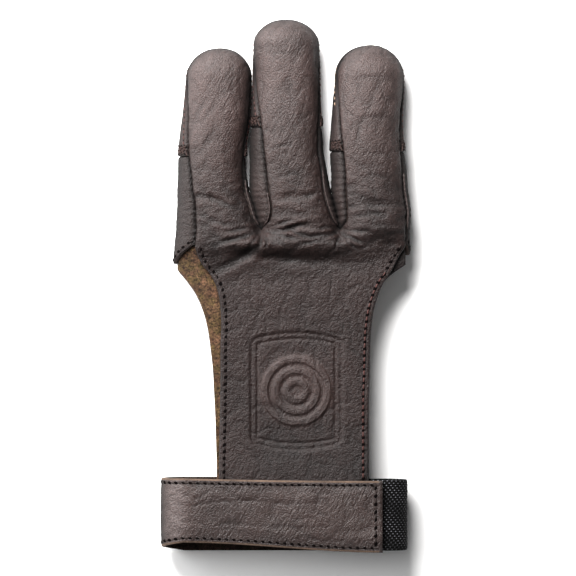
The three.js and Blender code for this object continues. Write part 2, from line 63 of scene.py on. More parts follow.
# Thicknesses, in millimetres, as in the solids
LEATHER = 1.3
TIP_LEATHER = 1.7
SUEDE = 1.1
STRAP = 1.6
ELASTIC = 1.4
SEAM_GAP = 0.3

# The stalls: width, height as they lie, length, rounded end, and where the tip pad begins
STALL_SIZES = {
    "index": dict(width=24.3, height=16.6, length=65.4, rounding=10.8, pad=26.2),
    "middle": dict(width=24.5, height=17.0, length=75.8, rounding=9.4, pad=36.8),
    "ring": dict(width=25.0, height=16.4, length=66.6, rounding=12.2, pad=28.0),
}
MIDDLE_SHIFT = 5.2
CLEARANCE = 0.4
SPLAY = {"index": 1.1, "ring": 5.4}
SETTLE = 0.8
POWER = 2.3
PALM_SEAM = 0.8

# The hand, its panel and the suede behind it
HAND_LENGTH = 90.7
PALM_LENGTH = 20.5
NOTCH_DROP = 5.4
HEM_DROP = {"index": 12.6, "ring": 9.4}
PANEL_WIDTH = 53.3
PANEL_OFFSET = 2.9
PANEL_HEIGHT = 12.6
PANEL_TUCK = 18.0
SUEDE_FLARE = 11.2
SUEDE_MARGIN = 0.2
SUEDE_DROOP = 3.2
SUEDE_HEM_GAP = 1.6

# The loop round the wrist
LOOP_WIDTH = 89.2
LOOP_HEIGHT = 16.0
LOOP_OFFSET = -0.6
STRAP_WIDTH = 25.7
STRAP_TAPER = 3.6
STRAP_PAST_PANEL = 5.05
STRAP_BACK_REACH = 60.0
ELASTIC_WIDTH = 25.4
ELASTIC_INSET = 0.3
ELASTIC_PAST_PANEL = 0.95
ELASTIC_BACK_LAP = 12.0

STRAP_TOP = -HAND_LENGTH
WRIST_HEIGHT = LOOP_HEIGHT - STRAP - SEAM_GAP
LOOP_LEFT = LOOP_OFFSET - LOOP_WIDTH / 2
LOOP_RIGHT = LOOP_OFFSET + LOOP_WIDTH / 2
PANEL_RIGHT = PANEL_OFFSET + PANEL_WIDTH / 2
STRAP_END = PANEL_RIGHT + STRAP_PAST_PANEL


def table(columns, *rows):
    """A table with named columns, the first being the place along it."""
    return {name: np.array([row[i] for row in rows]) for i, name in enumerate(columns.split())}


SECTIONS = {
    "index": table(
        "at half splay left right",
        (-0.2, 1.32, 0, -0.53, 0.97),
        (0, 1.27, 0, -0.53, 0.97),
        (0.06, 1.2, 0, -0.53, 0.92),
        (0.15, 1.11, 0.1, -0.53, 0.92),
        (0.26, 1.03, 0.6, -0.6, 0.94),
        (0.36, 1, 1, -0.67, 0.95),
        (0.48, 1, 0.7, -0.76, 0.97),
        (0.62, 1, 0.2, -0.85, 0.98),
        (0.84, 0.97, 0.1, -0.98, 1),
        (1, 0.95, 0.1, -1, 1),
    ),
    "middle": table(
        "at half shift left right",
        (-0.2, 1.16, 1, -0.97, 0.97),
        (0, 1.16, 1, -0.97, 0.97),
        (0.04, 1.165, 0.82, -0.75, 0.9),
        (0.09, 1.17, 0.62, -0.62, 0.86),
        (0.18, 1.17, 0.28, -0.56, 0.85),
        (0.27, 1.14, 0.14, -0.58, 0.87),
        (0.38, 1.09, 0, -0.63, 0.89),
        (0.53, 1.03, 0, -0.77, 0.95),
        (0.62, 1, 0, -0.88, 0.97),
        (0.82, 0.975, 0, -1, 1),
        (1, 0.95, 0, -1, 1),
    ),
    "ring": table(
        "at half splay left right",
        (-0.2, 1.01, 0, -0.97, 0.895),
        (0, 1.01, 0, -0.97, 0.895),
        (0.04, 1.04, 0, -0.82, 0.895),
        (0.1, 1.08, 0, -0.74, 0.895),
        (0.2, 1.1, 0.05, -0.67, 0.895),
        (0.3, 1.09, 0.2, -0.65, 0.895),
        (0.43, 1.07, 0.36, -0.67, 0.92),
        (0.6, 1.02, 0.62, -0.8, 0.96),
        (0.78, 1, 0.92, -0.95, 1),
        (1, 1, 1, -1, 1),
    ),
}
PANEL = table(
    "at left right knuckle wrist suede",
    (0, 1, 1, 1, 0, 1),
    (0.022, 0.97, 0.93, 0.86, 0, 1),
    (0.044, 0.91, 0.84, 0.6, 0, 1),
    (0.066, 0.83, 0.76, 0.36, 0, 1),
    (0.09, 0.7, 0.68, 0.18, 0, 1),
    (0.12, 0.46, 0.58, 0.06, 0, 0.99),
    (0.157, 0.25, 0.42, 0, 0, 0.91),
    (0.207, 0.09, 0.27, 0, 0, 0.77),
    (0.275, 0, 0.14, 0, 0, 0.6),
    (0.35, -0.03, 0.07, 0, 0, 0.46),
    (0.43, 0, 0.04, 0, 0, 0.34),
    (0.52, 0, 0.03, 0, 0, 0.26),
    (0.62, 0.01, 0.01, 0, 0.02, 0.21),
    (0.72, 0.02, 0, 0, 0.1, 0.16),
    (0.81, 0.04, 0, 0, 0.28, 0.12),
    (0.89, 0.05, 0, 0, 0.6, 0.09),
    (0.96, 0.06, 0, 0, 0.92, 0.07),
    (1.01, 0.06, 0, 0, 1, 0.07),
    (1.3, 0.06, 0, 0, 1, 0.07),
)
# The large folds, softer than in the solids at the knuckles: how far across and along the
# hand they lie, and how deep, wide, long and slanting they are, all as shares
FOLDS = (
    (0.44, 0.116, 0.055, 0.15, 0.03, 0.05),
    (0.29, 0.1, 0.06, 0.05, 0.02, 0.1),
    (0.68, 0.13, 0.03, 0.1, 0.028, 0.04),
    (0.366, 0.03, 0.05, 0.022, 0.034, 0),
    (0.702, 0.04, 0.02, 0.016, 0.04, 0),
    (0.52, 0.0, 0.05, 0.08, 0.014, -0.12),
    (0.16, -0.12, 0.03, 0.06, 0.014, 0.1),
    (0.5, -0.13, 0.035, 0.06, 0.014, -0.1),
    (0.85, -0.1, 0.03, 0.06, 0.014, 0.1),
)

# Creases seen in the leather of the back: depth, half width, and the points that each
# runs through, in the part's own plane
CREASES = (
    (0.3, 1.5, ((-13, 12), (-8.6, 10.6), (5, 9.2), (17.6, 8.4))),
    (0.8, 1.5, ((-26, 5), (-18.4, 8.4), (-13, 12), (-8.6, 14.6))),
    (0.8, 0.85, ((-8.8, 19.9), (-15, 17.6), (-21, 16), (-28, 13.4))),
    (0.45, 0.65, ((-9.4, 20.6), (-14, 20.4), (-19, 19.4), (-23, 19.2))),
    (0.8, 0.75, ((-7.2, 19.8), (-0.7, 19.7), (4.4, 21.4), (9.8, 22.4))),
    (0.55, 0.65, ((-6.8, 19.3), (-0.4, 17.6), (5, 16.4))),
    (0.4, 0.6, ((-7, 20.6), (-2.4, 22), (2.4, 23.6))),
    (0.85, 0.75, ((18.6, 19.4), (14, 18.2), (9, 17.4), (5, 18.6), (1.8, 19.7))),
    (0.55, 0.65, ((18, 18.8), (13.5, 16.6), (8.2, 15.2), (3.4, 14))),
    (0.45, 0.6, ((18.4, 20.6), (14.6, 20.8), (10.6, 20))),
    (0.65, 0.65, ((20.3, 18.9), (24.8, 16.4), (28, 15.2))),
    (0.4, 0.65, ((20.8, 20), (26, 19.4), (31, 19.8))),
    (0.35, 0.55, ((20.4, 18.4), (23.4, 14.6), (26.4, 12.6))),
    (0.3, 0.5, ((19.4, 18.2), (18.2, 15), (17.6, 12.4))),
    (0.5, 0.7, ((-8.6, 19.2), (-9.1, 16), (-9.8, 12.6))),
    (0.5, 0.5, ((-7.7, 19.2), (-7, 15.8), (-7.3, 13))),
    (0.5, 0.5, ((-9.6, 19.2), (-11.6, 16), (-13.4, 14.2))),
    (0.3, 0.9, ((-33, 31.8), (-28, 31.8), (-23, 29.4), (-18, 26.8))),
    (0.25, 0.8, ((-30, 24.6), (-26.4, 23.4), (-21.6, 22), (-16.4, 21.8))),
    (0.22, 0.9, ((-31.2, 46.6), (-28, 51.6), (-25.8, 56.6))),
    (0.18, 0.9, ((-32, 56.6), (-28, 61.4), (-24.8, 65.4))),
    (0.32, 0.7, ((-5.8, 48.4), (-2.2, 49.8), (1.6, 50.8))),
    (0.22, 0.8, ((-5.4, 37.6), (-0.7, 39.4), (5, 40.8))),
    (0.3, 0.9, ((-4.2, 30.8), (3.4, 30.8), (9.8, 32.8), (12, 34))),
    (0.22, 0.8, ((-0.8, 26.6), (4.2, 25.4), (9.6, 27))),
    (0.22, 0.9, ((28, 59.6), (26.4, 55), (25.2, 48.8))),
    (0.2, 0.9, ((24.4, 24.8), (32.2, 25.8), (37, 24.6))),
    (0.18, 0.9, ((27, 38), (33, 39.6), (38, 38.4))),
)

# The spacing of the points on the leather, and the columns of points across the pieces
ROW_STEP = 0.56
STAMP_STEP = 0.42
BACK_COLUMNS = 46
PAD_COLUMNS = 66
SIDE_COLUMNS = 14
PALM_COLUMNS = 30
STRAP_COLUMNS = 40
ELASTIC_COLUMNS = 36

# The pressed design: an arched frame round a ring target, and its rings, each by the
# radii of its outer and inner edges
STAMP_WIDTH = 32.6
STAMP_LENGTH = 37.0
STAMP_ARCH = 2.6
STAMP_CORNER = 2.0
STAMP_CENTRE = (3.6, -58.4)
STAMP_RINGS = ((12.6, 10.2), (8.6, 6.2), (4.6, 2.2))

# The neighbours at each stall's two crotches, on its left and on its right
NEIGHBOURS = {
    "index": (None, ("index", "middle")),
    "middle": (("index", "middle"), ("middle", "ring")),
    "ring": (("middle", "ring"), None),
}
CROTCH_REACH = 2.0

# The outer side of each outer stall: its two seams, and which part of the hem it ends in
OUTER_SIDES = {"index": ((1, 2), "left"), "ring": ((3, 4), "right")}

# The leather's fine patterns, by the scale of their noise or cells, to a metre
FINE_GRAIN = 1900.0
PEBBLES = 900.0
CELLS = 640.0
HAIRS = 1250.0
HAIR_PATCHES = 75.0
DYE_CLOUDS = 45.0

# How hair creases slant, in radians, and how they are stretched along their length
HAIR_SLANT = 0.5
HAIR_STRETCH = 0.2

# How much each pattern stands out, how deep all of them are, in metres, and how rough
# steep sides and full grain are
FINE_WEIGHT = 1.1
PEBBLE_WEIGHT = -0.55
CRACK_WEIGHT = 0.18
LEATHER_BUMP = 0.00034
STEEP_ROUGHNESS = 0.85
GRAIN_ROUGHNESS = 0.12

# The turned edges of a seam and the cut edges of a hem: how wide and how deep they round
SEAM_ROLL = (1.5, 0.95)
SIDE_ROLL = (1.3, 1.0)
HEM_ROLL = (0.7, 0.3)
WEBBING_ROLL = (0.8, 0.35)

# How far apart the puckers of a seam, the gathers of a side strip and the beads of a welt
# are, and the ribs across the webbing
PUCKER_SPACING = 2.2
GATHER_SPACING = 2.3
BEAD_SPACING = 1.7
RIBS = 12

STITCH_PITCH = 2.4
STITCH_INSET = 1.9
STRAP_STITCH_PITCH = 2.6
STRAP_STITCH_INSET = 1.55
RED_STITCHES_FROM = -15.5

# The photo: millimetres to a pixel, pixels to a side, and the pixel at the glove's middle
PHOTO_PIXEL = 0.36
PHOTO_SIDE = 576
PHOTO_CENTRE = (286.0, 285.3)


def mix(a, b, t):
    return a + (b - a) * t


def smooth(low, high, value):
    t = np.clip((value - low) / (high - low), 0, 1)
    return t * t * (3 - 2 * t)


def turns(distance, spacing):
    """The angle of a wave of this spacing, so far along it."""
    return distance * 2 * math.pi / spacing


def bell(value, width):
    """1 where the value is nought, falling off to both sides."""
    return np.exp(-((value / width) ** 2))


def table_value(rows, column, at):
    """A column of a table at places along it, on a smooth curve through its rows."""
    places = rows["at"]
    values = rows[column]
    last = len(places) - 1
    at = np.clip(np.asarray(at, float), places[0], places[-1])
    i = np.clip(np.searchsorted(places, at, side="right") - 1, 0, last - 1)
    before = np.maximum(np.arange(last + 1) - 1, 0)
    after = np.minimum(np.arange(last + 1) + 1, last)
    slope = (values[after] - values[before]) / (places[after] - places[before])
    step = places[i + 1] - places[i]
    t = (at - places[i]) / step
    change = values[i + 1] - values[i]
    bend = (1 - t) * (slope[i] * step - change) - t * (slope[i + 1] * step - change)
    return values[i] + change * t + t * (1 - t) * bend


def half_width(stall, y):
    size = STALL_SIZES[stall]
    return size["width"] / 2 * table_value(SECTIONS[stall], "half", y / size["length"])


def middle_centre(y):
    return MIDDLE_SHIFT * table_value(SECTIONS["middle"], "shift", y / STALL_SIZES["middle"]["length"])


def centre(stall, y):
    """The middle of a stall: the outer two lie against the sides of the middle one."""
    if stall == "middle":
        return middle_centre(y)
    side = -1 if stall == "index" else 1
    opening = np.clip(y / (4 * LEATHER), 0, 1)
    at = y / STALL_SIZES[stall]["length"]
    spacing = CLEARANCE * opening + SPLAY[stall] * table_value(SECTIONS[stall], "splay", at)
    return middle_centre(y) + side * (half_width("middle", y) + spacing + half_width(stall, y))


def seam_angle(share):
    share = np.asarray(share, float)
    angle = np.arccos(np.minimum(np.abs(share), 1) ** (POWER / 2))
    return np.where(share < 0, np.pi - angle, angle)


def stall_point(stall, y, angle):
    """A point of a stall's skin: angle 0 is on the right and 90 degrees on top."""
    size = STALL_SIZES[stall]
    into = (y - (size["length"] - size["rounding"])) / size["rounding"]
    share = np.where(into <= 0, 1, np.sqrt(np.clip(1 - into * into, 0, 1)))
    across = np.sign(np.cos(angle)) * np.abs(np.cos(angle)) ** (2 / POWER)
    up = np.sign(np.sin(angle)) * np.abs(np.sin(angle)) ** (2 / POWER)
    x = centre(stall, y) + half_width(stall, y) * share * across
    half = size["height"] / 2
    z = np.maximum(half + half * share * up - SETTLE, 0)
    return np.stack(np.broadcast_arrays(x, y + 0 * x, z), -1)


def seams(stall, y):
    """The angles of a stall's seams at y: back right, back left, palm left, palm right, and
    back right again, a full turn on."""
    at = y / STALL_SIZES[stall]["length"]
    right = seam_angle(table_value(SECTIONS[stall], "right", at))
    left = seam_angle(table_value(SECTIONS[stall], "left", at))
    palm_left = 2 * np.pi - seam_angle(-PALM_SEAM) + 0 * at
    palm_right = 2 * np.pi - seam_angle(PALM_SEAM) + 0 * at
    return right, left, palm_left, palm_right, right + 2 * np.pi


HAND_LEFT = float(stall_point("index", np.array(0.0), np.pi)[0])
HAND_RIGHT = float(stall_point("ring", np.array(0.0), 0.0)[0])

# Where the working origin, the middle finger's line at the crotches, lies in the part
strap_low = np.array(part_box("wrist_strap")[0]) / MM
palm_low = np.array(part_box("palm_panel")[0]) / MM
ORIGIN = np.array([strap_low[0] - LOOP_LEFT, strap_low[1] - (STRAP_TOP - STRAP_WIDTH), palm_low[2]])


def fold_depth(x, y):
    across = (x - HAND_LEFT) / (HAND_RIGHT - HAND_LEFT)
    along = -y / HAND_LENGTH
    depth = 0 * x
    for fold_across, fold_along, deep, wide, long, slant in FOLDS:
        u = (across - fold_across) / wide
        v = (along - fold_along - slant * (across - fold_across)) / long
        depth = depth + deep * STALL_SIZES["middle"]["height"] * np.exp(-u * u - v * v)
    return depth


def along_stall(stall, start, end, step=ROW_STEP):
    """Places along a stall from start to end, following its rounded end by equal angles."""
    size = STALL_SIZES[stall]
    straight = size["length"] - size["rounding"]
    stop = min(end, straight)
    places = np.linspace(start, stop, max(2, round((stop - start) / step) + 1))
    if end <= straight:
        return places
    angles = np.linspace(0, math.pi / 2, round(size["rounding"] * 1.5 / step) + 1)[1:]
    return np.concatenate([places, straight + size["rounding"] * np.sin(angles)])


def stall_patch(stall, places, start_seam, end_seam, columns):
    """A grid of points on a stall between two of its seams, a row for each place."""
    corners = seams(stall, places)
    shares = np.linspace(0, 1, columns + 1)
    angles = mix(corners[start_seam][:, None], corners[end_seam][:, None], shares)
    return stall_point(stall, places[:, None] + 0 * angles, angles)


# The crotches: what two neighbouring stalls share. Each is a column from back to palm.
def crotch_column(left, right, columns):
    zero = np.zeros(1)
    a = stall_patch(left, zero, 4, 3, columns)[0]
    b = stall_patch(right, zero, 1, 2, columns)[0]
    return (a + b) / 2


def near_crotch(grid):
    """1 in the row of a patch that lies at the crotches, falling to 0 a little above."""
    return np.clip(1 - grid[:, :1, 1:2] / CROTCH_REACH, 0, 1)


def drawn_to_crotches(grid, stall, on_back):
    """Draws a stall's patch, on the back or the palm, onto the points that it shares with
    its neighbours at the crotches. A back's columns run to the left and a palm's to the right."""
    column = np.arange(grid.shape[1])
    reach_columns = column[-1] / (7 if on_back else 5)
    for right_side, pair in enumerate(NEIGHBOURS[stall]):
        if pair:
            shared = crotch_column(*pair, 1)[0 if on_back else -1]
            from_first = bool(right_side) == on_back
            own = grid[0, 0 if from_first else -1].copy()
            away = column if from_first else column[::-1]
            near = np.clip(1 - away / reach_columns, 0, 1)[None, :, None]
            grid = grid + (shared - own) * near * near_crotch(grid)
    return grid


# A skin: grids of points welded where they meet, with what each point needs for its finish
class Sheet:
    def __init__(self):
        self.points = []
        self.faces = []
        self.where = {}

    def add(self, grid, flip=False):
        """Adds a grid of points. Rows run to the fingertips and columns to the left."""
        ids = np.empty(grid.shape[:2], int)
        for r in range(grid.shape[0]):
            for c in range(grid.shape[1]):
                key = tuple(np.round(grid[r, c], 3))
                if key not in self.where:
                    self.where[key] = len(self.points)
                    self.points.append(grid[r, c])
                ids[r, c] = self.where[key]
        for r in range(grid.shape[0] - 1):
            for c in range(grid.shape[1] - 1):
                corners = [ids[r, c], ids[r + 1, c], ids[r + 1, c + 1], ids[r, c + 1]]
                corners = [v for i, v in enumerate(corners) if v not in corners[:i]]
                if len(corners) > 2:
                    self.faces.append(corners[::-1] if flip else corners)
        return ids


def normals_of(points, faces):
    quads = np.array([face if len(face) == 4 else face + [face[-1]] for face in faces])
    a, b, c, d = (points[quads[:, i]] for i in range(4))
    face_normals = np.cross(c - a, d - b)
    normals = np.zeros_like(points)
    for i in range(4):
        np.add.at(normals, quads[:, i], face_normals)
    return normals / np.maximum(np.linalg.norm(normals, axis=1, keepdims=True), 1e-9)


def border_of(faces):
    """The edges that only one face has, in the order of that face's corners."""
    edges = {}
    for face in faces:
        for a, b in zip(face, face[1:] + face[:1]):
            if (b, a) in edges:
                del edges[(b, a)]
            else:
                edges[(a, b)] = True
    return list(edges)


def nearest(points, targets):
    """For each point, the distance to the nearest target."""
    tree = kdtree.KDTree(len(targets))
    for i, target in enumerate(targets):
        tree.insert(target, i)
    tree.balance()
    return np.array([tree.find(p)[2] for p in points])


def rounded_edge(distance, width, depth):
    t = 1 - np.clip(distance / width, 0, 1)
    return -depth * (1 - np.sqrt(np.clip(1 - t * t, 0, 1)))


def crease_field(points, creases):
    """The height that a set of creases gives to points: a narrow valley, swollen beside."""
    height = np.zeros(len(points))
    for depth, width, route in creases:
        best = np.full(len(points), np.inf)
        fade = np.ones(len(points))
        legs = len(route) - 1
        for i in range(legs):
            a = np.array(route[i])
            b = np.array(route[i + 1])
            leg = b - a
            t = np.clip(((points[:, :2] - a) @ leg) / (leg @ leg), 0, 1)
            away = np.linalg.norm(points[:, :2] - a - t[:, None] * leg, axis=1)
            closer = away < best
            best = np.where(closer, away, best)
            run = (i + t) / legs
            fade = np.where(closer, np.clip(np.minimum(run + 0.35, (1 - run) * 3), 0, 1), fade)
        swell = bell(best - 2 * width, width)
        height += depth * fade * (0.4 * swell - bell(best, width))
    return height


def noise_field(points, size, seed, stretch=(1, 1, 1)):
    scale = np.array(stretch) / size
    shifted = points * scale + seed * 17.3
    return np.array([noise.noise(p) for p in shifted])


def ridges(points, size, seed, stretch=(1, 1, 1), sharp=6.0):
    """Thin creases where a noise passes through nought: 1 in a crease, 0 away from it."""
    drift = np.stack([noise_field(points, size * 1.5, seed + k) for k in (1, 2, 3)], 1)
    bent = points + 0.35 * size * drift
    return bell(noise_field(bent, size, seed, stretch), 1 / sharp)


def distances(points):
    """How far along a row of points each of them lies."""
    return np.concatenate([[0], np.cumsum(np.linalg.norm(np.diff(points, axis=0), axis=1))])


# Materials
def node_maker(tree):
    """A function that adds a node to a tree, with its inputs linked or set by their names."""
    def make(kind, inputs=None, **settings):
        node = tree.nodes.new(kind)
        for name, value in settings.items():
            setattr(node, name, value)
        for name, value in (inputs or {}).items():
            if isinstance(value, bpy.types.NodeSocket):
                tree.links.new(value, node.inputs[name])
            else:
                node.inputs[name].default_value = value
        return node

    return make


def new_material(name):
    material = bpy.data.materials.new(name)
    material.use_nodes = True
    material.node_tree.nodes.clear()
    return material, node_maker(material.node_tree)


def surface(make, inputs):
    """Ends a material in a shader with these inputs."""
    shader = make("ShaderNodeBsdfPrincipled", inputs)
    make("ShaderNodeOutputMaterial", {"Surface": shader.outputs["BSDF"]})


def object_place(make):
    return make("ShaderNodeTexCoord").outputs["Object"]


def clouds(make, place, scale, detail=2.0, roughness=0.5, distortion=0.0):
    """Noise, whose features are about one over the scale, in metres."""
    node = make("ShaderNodeTexNoise", {"Vector": place, "Scale": scale, "Detail": detail,
                                       "Roughness": roughness, "Distortion": distortion})
    return node.outputs["Fac"]


def ranged(make, value, low, high, to_low=0.0, to_high=1.0):
    node = make("ShaderNodeMapRange", {"Value": value, "From Min": low, "From Max": high,
                                       "To Min": to_low, "To Max": to_high})
    return node.outputs["Result"]


def product(make, value, factor):
    return make("ShaderNodeMath", {0: value, 1: factor}, operation="MULTIPLY").outputs[0]


def weighed(make, value, weight, rest=0.0):
    """A value times its weight, added to the rest."""
    return make("ShaderNodeMath", {0: value, 1: weight, 2: rest}, operation="MULTIPLY_ADD").outputs[0]


def layered(make, colour, *layers):
    """A colour multiplied by others, one after another."""
    for layer in layers:
        mixed = make("ShaderNodeMix", {"Factor": 1.0, "A": colour, "B": layer},
                     data_type="RGBA", blend_type="MULTIPLY")
        colour = mixed.outputs["Result"]
    return colour


def bumped(make, height, distance, strength=1.0, over=None):
    """The normals of a relief, over those of a finer one where that is given."""
    inputs = {"Strength": strength, "Distance": distance, "Height": height}
    if over is not None:
        inputs["Normal"] = over
    return make("ShaderNodeBump", inputs).outputs["Normal"]


def ramp(make, factor, *stops):
    node = make("ShaderNodeValToRGB", {"Fac": factor})
    elements = node.color_ramp.elements
    while len(elements) < len(stops):
        elements.new(0.5)
    for element, (place, colour) in zip(elements, stops):
        element.position = place
        element.color = (*colour, 1)
    return node.outputs["Color"]


def shade(colour, factor):
    return tuple(min(channel * factor, 1) for channel in colour)


def shade_ramp(make, factor, base, *stops):
    """A ramp of one colour, each stop a place and how light the colour is there."""
    return ramp(make, factor, *((place, shade(base, light)) for place, light in stops))


def grain_relief(make, place, grain, fine, wrinkle):
    """Leather's fine relief: grain, pebbles with cracks between them, and hair creases."""
    bend = make("ShaderNodeTexNoise", {"Vector": place, "Scale": 380.0}).outputs["Color"]
    warp = make("ShaderNodeMix", {"Factor": 0.0013, "A": place, "B": bend},
                data_type="RGBA", blend_type="ADD").outputs["Result"]
    pebbles = make("ShaderNodeTexVoronoi", {"Vector": warp, "Scale": PEBBLES}, feature="SMOOTH_F1")
    cells = make("ShaderNodeTexVoronoi", {"Vector": warp, "Scale": CELLS}, feature="DISTANCE_TO_EDGE")
    cracks = ranged(make, cells.outputs["Distance"], 0.0, 0.42)
    round_tops = weighed(make, pebbles.outputs["Distance"], PEBBLE_WEIGHT)
    pebbled = weighed(make, cracks, CRACK_WEIGHT, round_tops)
    turned = make("ShaderNodeMapping", {"Vector": place, "Rotation": (0, 0, HAIR_SLANT)})
    stretched = make("ShaderNodeMapping", {"Vector": turned.outputs["Vector"],
                                           "Scale": (1.0, HAIR_STRETCH, 1.0)})
    hairs = clouds(make, stretched.outputs["Vector"], HAIRS, 3.0, 0.6, 0.15)
    spread = clouds(make, place, HAIR_PATCHES)
    patches = ranged(make, spread, 0.42, 0.62, 0.3 * wrinkle, 1.1 * wrinkle)
    fewer = ranged(make, grain, 0.3, 1.0, 1.0, 0.45)
    grained = weighed(make, fine, FINE_WEIGHT, product(make, pebbled, grain))
    return weighed(make, hairs, product(make, patches, fewer), grained)


def leather_finish(name, base, roughness, gloss, wrinkle=1.0):
    """Drum-dyed leather: fine grain, pebbles where the wall says so, and slanting hair
    creases. Swells get painted highlight, valleys and steep sides painted shade, and the
    pebbled leather is darker and more matt."""
    material, make = new_material(name)
    place = object_place(make)
    swell, rise, grain = (make("ShaderNodeAttribute", attribute_name=mark).outputs["Fac"]
                          for mark in ("swell", "rise", "grain"))
    fine = clouds(make, place, FINE_GRAIN, 3.0, 0.6)
    dye = clouds(make, place, DYE_CLOUDS, 5.0, 0.6)
    tone = shade_ramp(make, dye, base, (0.3, 0.82), (0.55, 1), (0.78, 1.22))
    # Painted highlight on the relief's swells and painted shade in its crease valleys
    painted_light_and_shade = ramp(make, swell, (0.25, (0.4, 0.4, 0.4)), (0.5, (1, 1, 1)), (0.75, (1.5, 1.48, 1.46)),
                (1.0, (2.6, 3.1, 3.3)))
    # Painted shade on steep sides, darkest where the leather turns down
    painted_flank_shade = ramp(make, rise, (0.25, (0.18, 0.16, 0.16)), (0.68, (0.78, 0.77, 0.77)), (0.92, (1, 1, 1)))
    # The fine grain's own speckle, with painted glints on its tops and painted shade in its pits
    grain_speckle_and_glints = ramp(make, fine, (0.34, (0.6, 0.59, 0.59)), (0.66, (1.4, 1.4, 1.4)))
    # Darker where pebbled: the panel's tone, and painted shade on the suede lining's leather-faced wing
    darker_where_pebbled = ramp(make, grain, (0.27, (1, 1, 1)), (0.6, (0.62, 0.55, 0.53)), (1.0, (0.33, 0.235, 0.215)))
    polish = ranged(make, rise, 0.3, 0.8, STEEP_ROUGHNESS, roughness)
    surface(make, {
        "Base Color": layered(make, tone, painted_light_and_shade, painted_flank_shade, grain_speckle_and_glints, darker_where_pebbled),
        "Roughness": weighed(make, grain, GRAIN_ROUGHNESS, polish),
        "Normal": bumped(make, grain_relief(make, place, grain, fine, wrinkle), LEATHER_BUMP),
        "Specular IOR Level": gloss,
    })
    return material


def raw_edge_finish(name, base):
    """Cut leather: fibrous, matt and paler than its face."""
    material, make = new_material(name)
    place = object_place(make)
    fibres = clouds(make, place, 1400.0, 4.0, 0.7)
    stains = clouds(make, place, 160.0, 3.0)
    mottle = make("ShaderNodeMix", {"Factor": 0.5, "A": fibres, "B": stains}).outputs["Result"]
    surface(make, {
        "Base Color": shade_ramp(make, mottle, base, (0.35, 0.45), (0.52, 1), (0.68, 1.5)),
        "Roughness": 0.9,
        "Normal": bumped(make, fibres, 0.0002, 0.6),
    })
    return material


def suede_finish(name, base):
    """Suede: a short brushed nap in patches of redder, greener and darker brown."""
    material, make = new_material(name)
    place = object_place(make)
    nap = clouds(make, place, 1200.0, 4.0, 0.8)
    patches = clouds(make, place, 240.0, 5.0, 0.7)
    hues = clouds(make, place, 330.0, distortion=0.5)
    red = (base[0] * 1.06, base[1] * 0.96, base[2] * 1.04)
    green = (base[0] * 0.92, base[1] * 1.02, base[2] * 0.82)
    hue = ramp(make, hues, (0.36, green), (0.5, base), (0.64, red))
    tone = ramp(make, patches, (0.33, (0.5, 0.48, 0.46)), (0.5, (1, 1, 1)), (0.68, (1.6, 1.6, 1.6)))
    fibres = ramp(make, nap, (0.38, (0.22, 0.2, 0.19)), (0.62, (1.8, 1.8, 1.8)))
    surface(make, {
        "Base Color": layered(make, hue, tone, fibres),
        "Roughness": 0.95,
        "Normal": bumped(make, patches, 0.0006, 0.7, over=bumped(make, nap, 0.0003, 0.9)),
        "Specular IOR Level": 0.15,
        "Sheen Weight": 0.15,
        "Sheen Roughness": 0.5,
    })
    return material


def webbing_finish(name, base):
    """Woven elastic: ribs along it and slanting rows of small loops, from its own map."""
    material, make = new_material(name)
    weave = make("ShaderNodeUVMap", uv_map="weave").outputs["UV"]
    turned = make("ShaderNodeMapping", {"Vector": weave, "Rotation": (0, 0, math.radians(38))})

    def waves(place, scale, direction, distortion=0.0):
        node = make("ShaderNodeTexWave", {"Vector": place, "Scale": scale, "Distortion": distortion,
                                          "Detail": 1.0 if distortion else 2.0},
                    wave_type="BANDS", bands_direction=direction)
        return node.outputs["Fac"]

    rows = waves(turned.outputs["Vector"], 0.25, "X", 0.5)
    loops = waves(turned.outputs["Vector"], 0.29, "Y", 0.4)
    dots = product(make, rows, loops)
    relief = weighed(make, dots, 1.0, waves(weave, 0.36, "Y"))
    surface(make, {
        "Base Color": shade_ramp(make, dots, base, (0.3, 0.3), (0.55, 1.2), (0.85, 34)),
        "Roughness": 0.9,
        "Normal": bumped(make, relief, 0.0003, 0.8),
        "Specular IOR Level": 0.2,
    })
    return material


def thread_finish(name, base, roughness=0.7, gloss=0.35):
    material, make = new_material(name)
    twist = clouds(make, object_place(make), 2600.0)
    surface(make, {
        "Base Color": shade_ramp(make, twist, base, (0.35, 0.6), (0.65, 1.6)),
        "Roughness": roughness,
        "Normal": bumped(make, twist, 0.0001, 0.5),
        "Specular IOR Level": gloss,
    })
    return material


BACK_LEATHER = leather_finish("back_leather", (0.0425, 0.028, 0.0258), roughness=0.37, gloss=0.38)
SIDE_LEATHER = leather_finish("side_leather", (0.0198, 0.0125, 0.0113), roughness=0.46, gloss=0.35)
TIP_FINISH = leather_finish("tip_leather", (0.0425, 0.028, 0.0258), roughness=0.38, gloss=0.38)
STRAP_LEATHER = leather_finish("strap_leather", (0.039, 0.0262, 0.0238), roughness=0.3, wrinkle=1.5,
                               gloss=0.48)
CUT_EDGE = raw_edge_finish("cut_edge", (0.06, 0.04, 0.032))
STRAP_EDGE = raw_edge_finish("strap_cut_edge", (0.1, 0.067, 0.049))
SUEDE_FINISH = suede_finish("brushed_suede", (0.059, 0.0355, 0.0195))
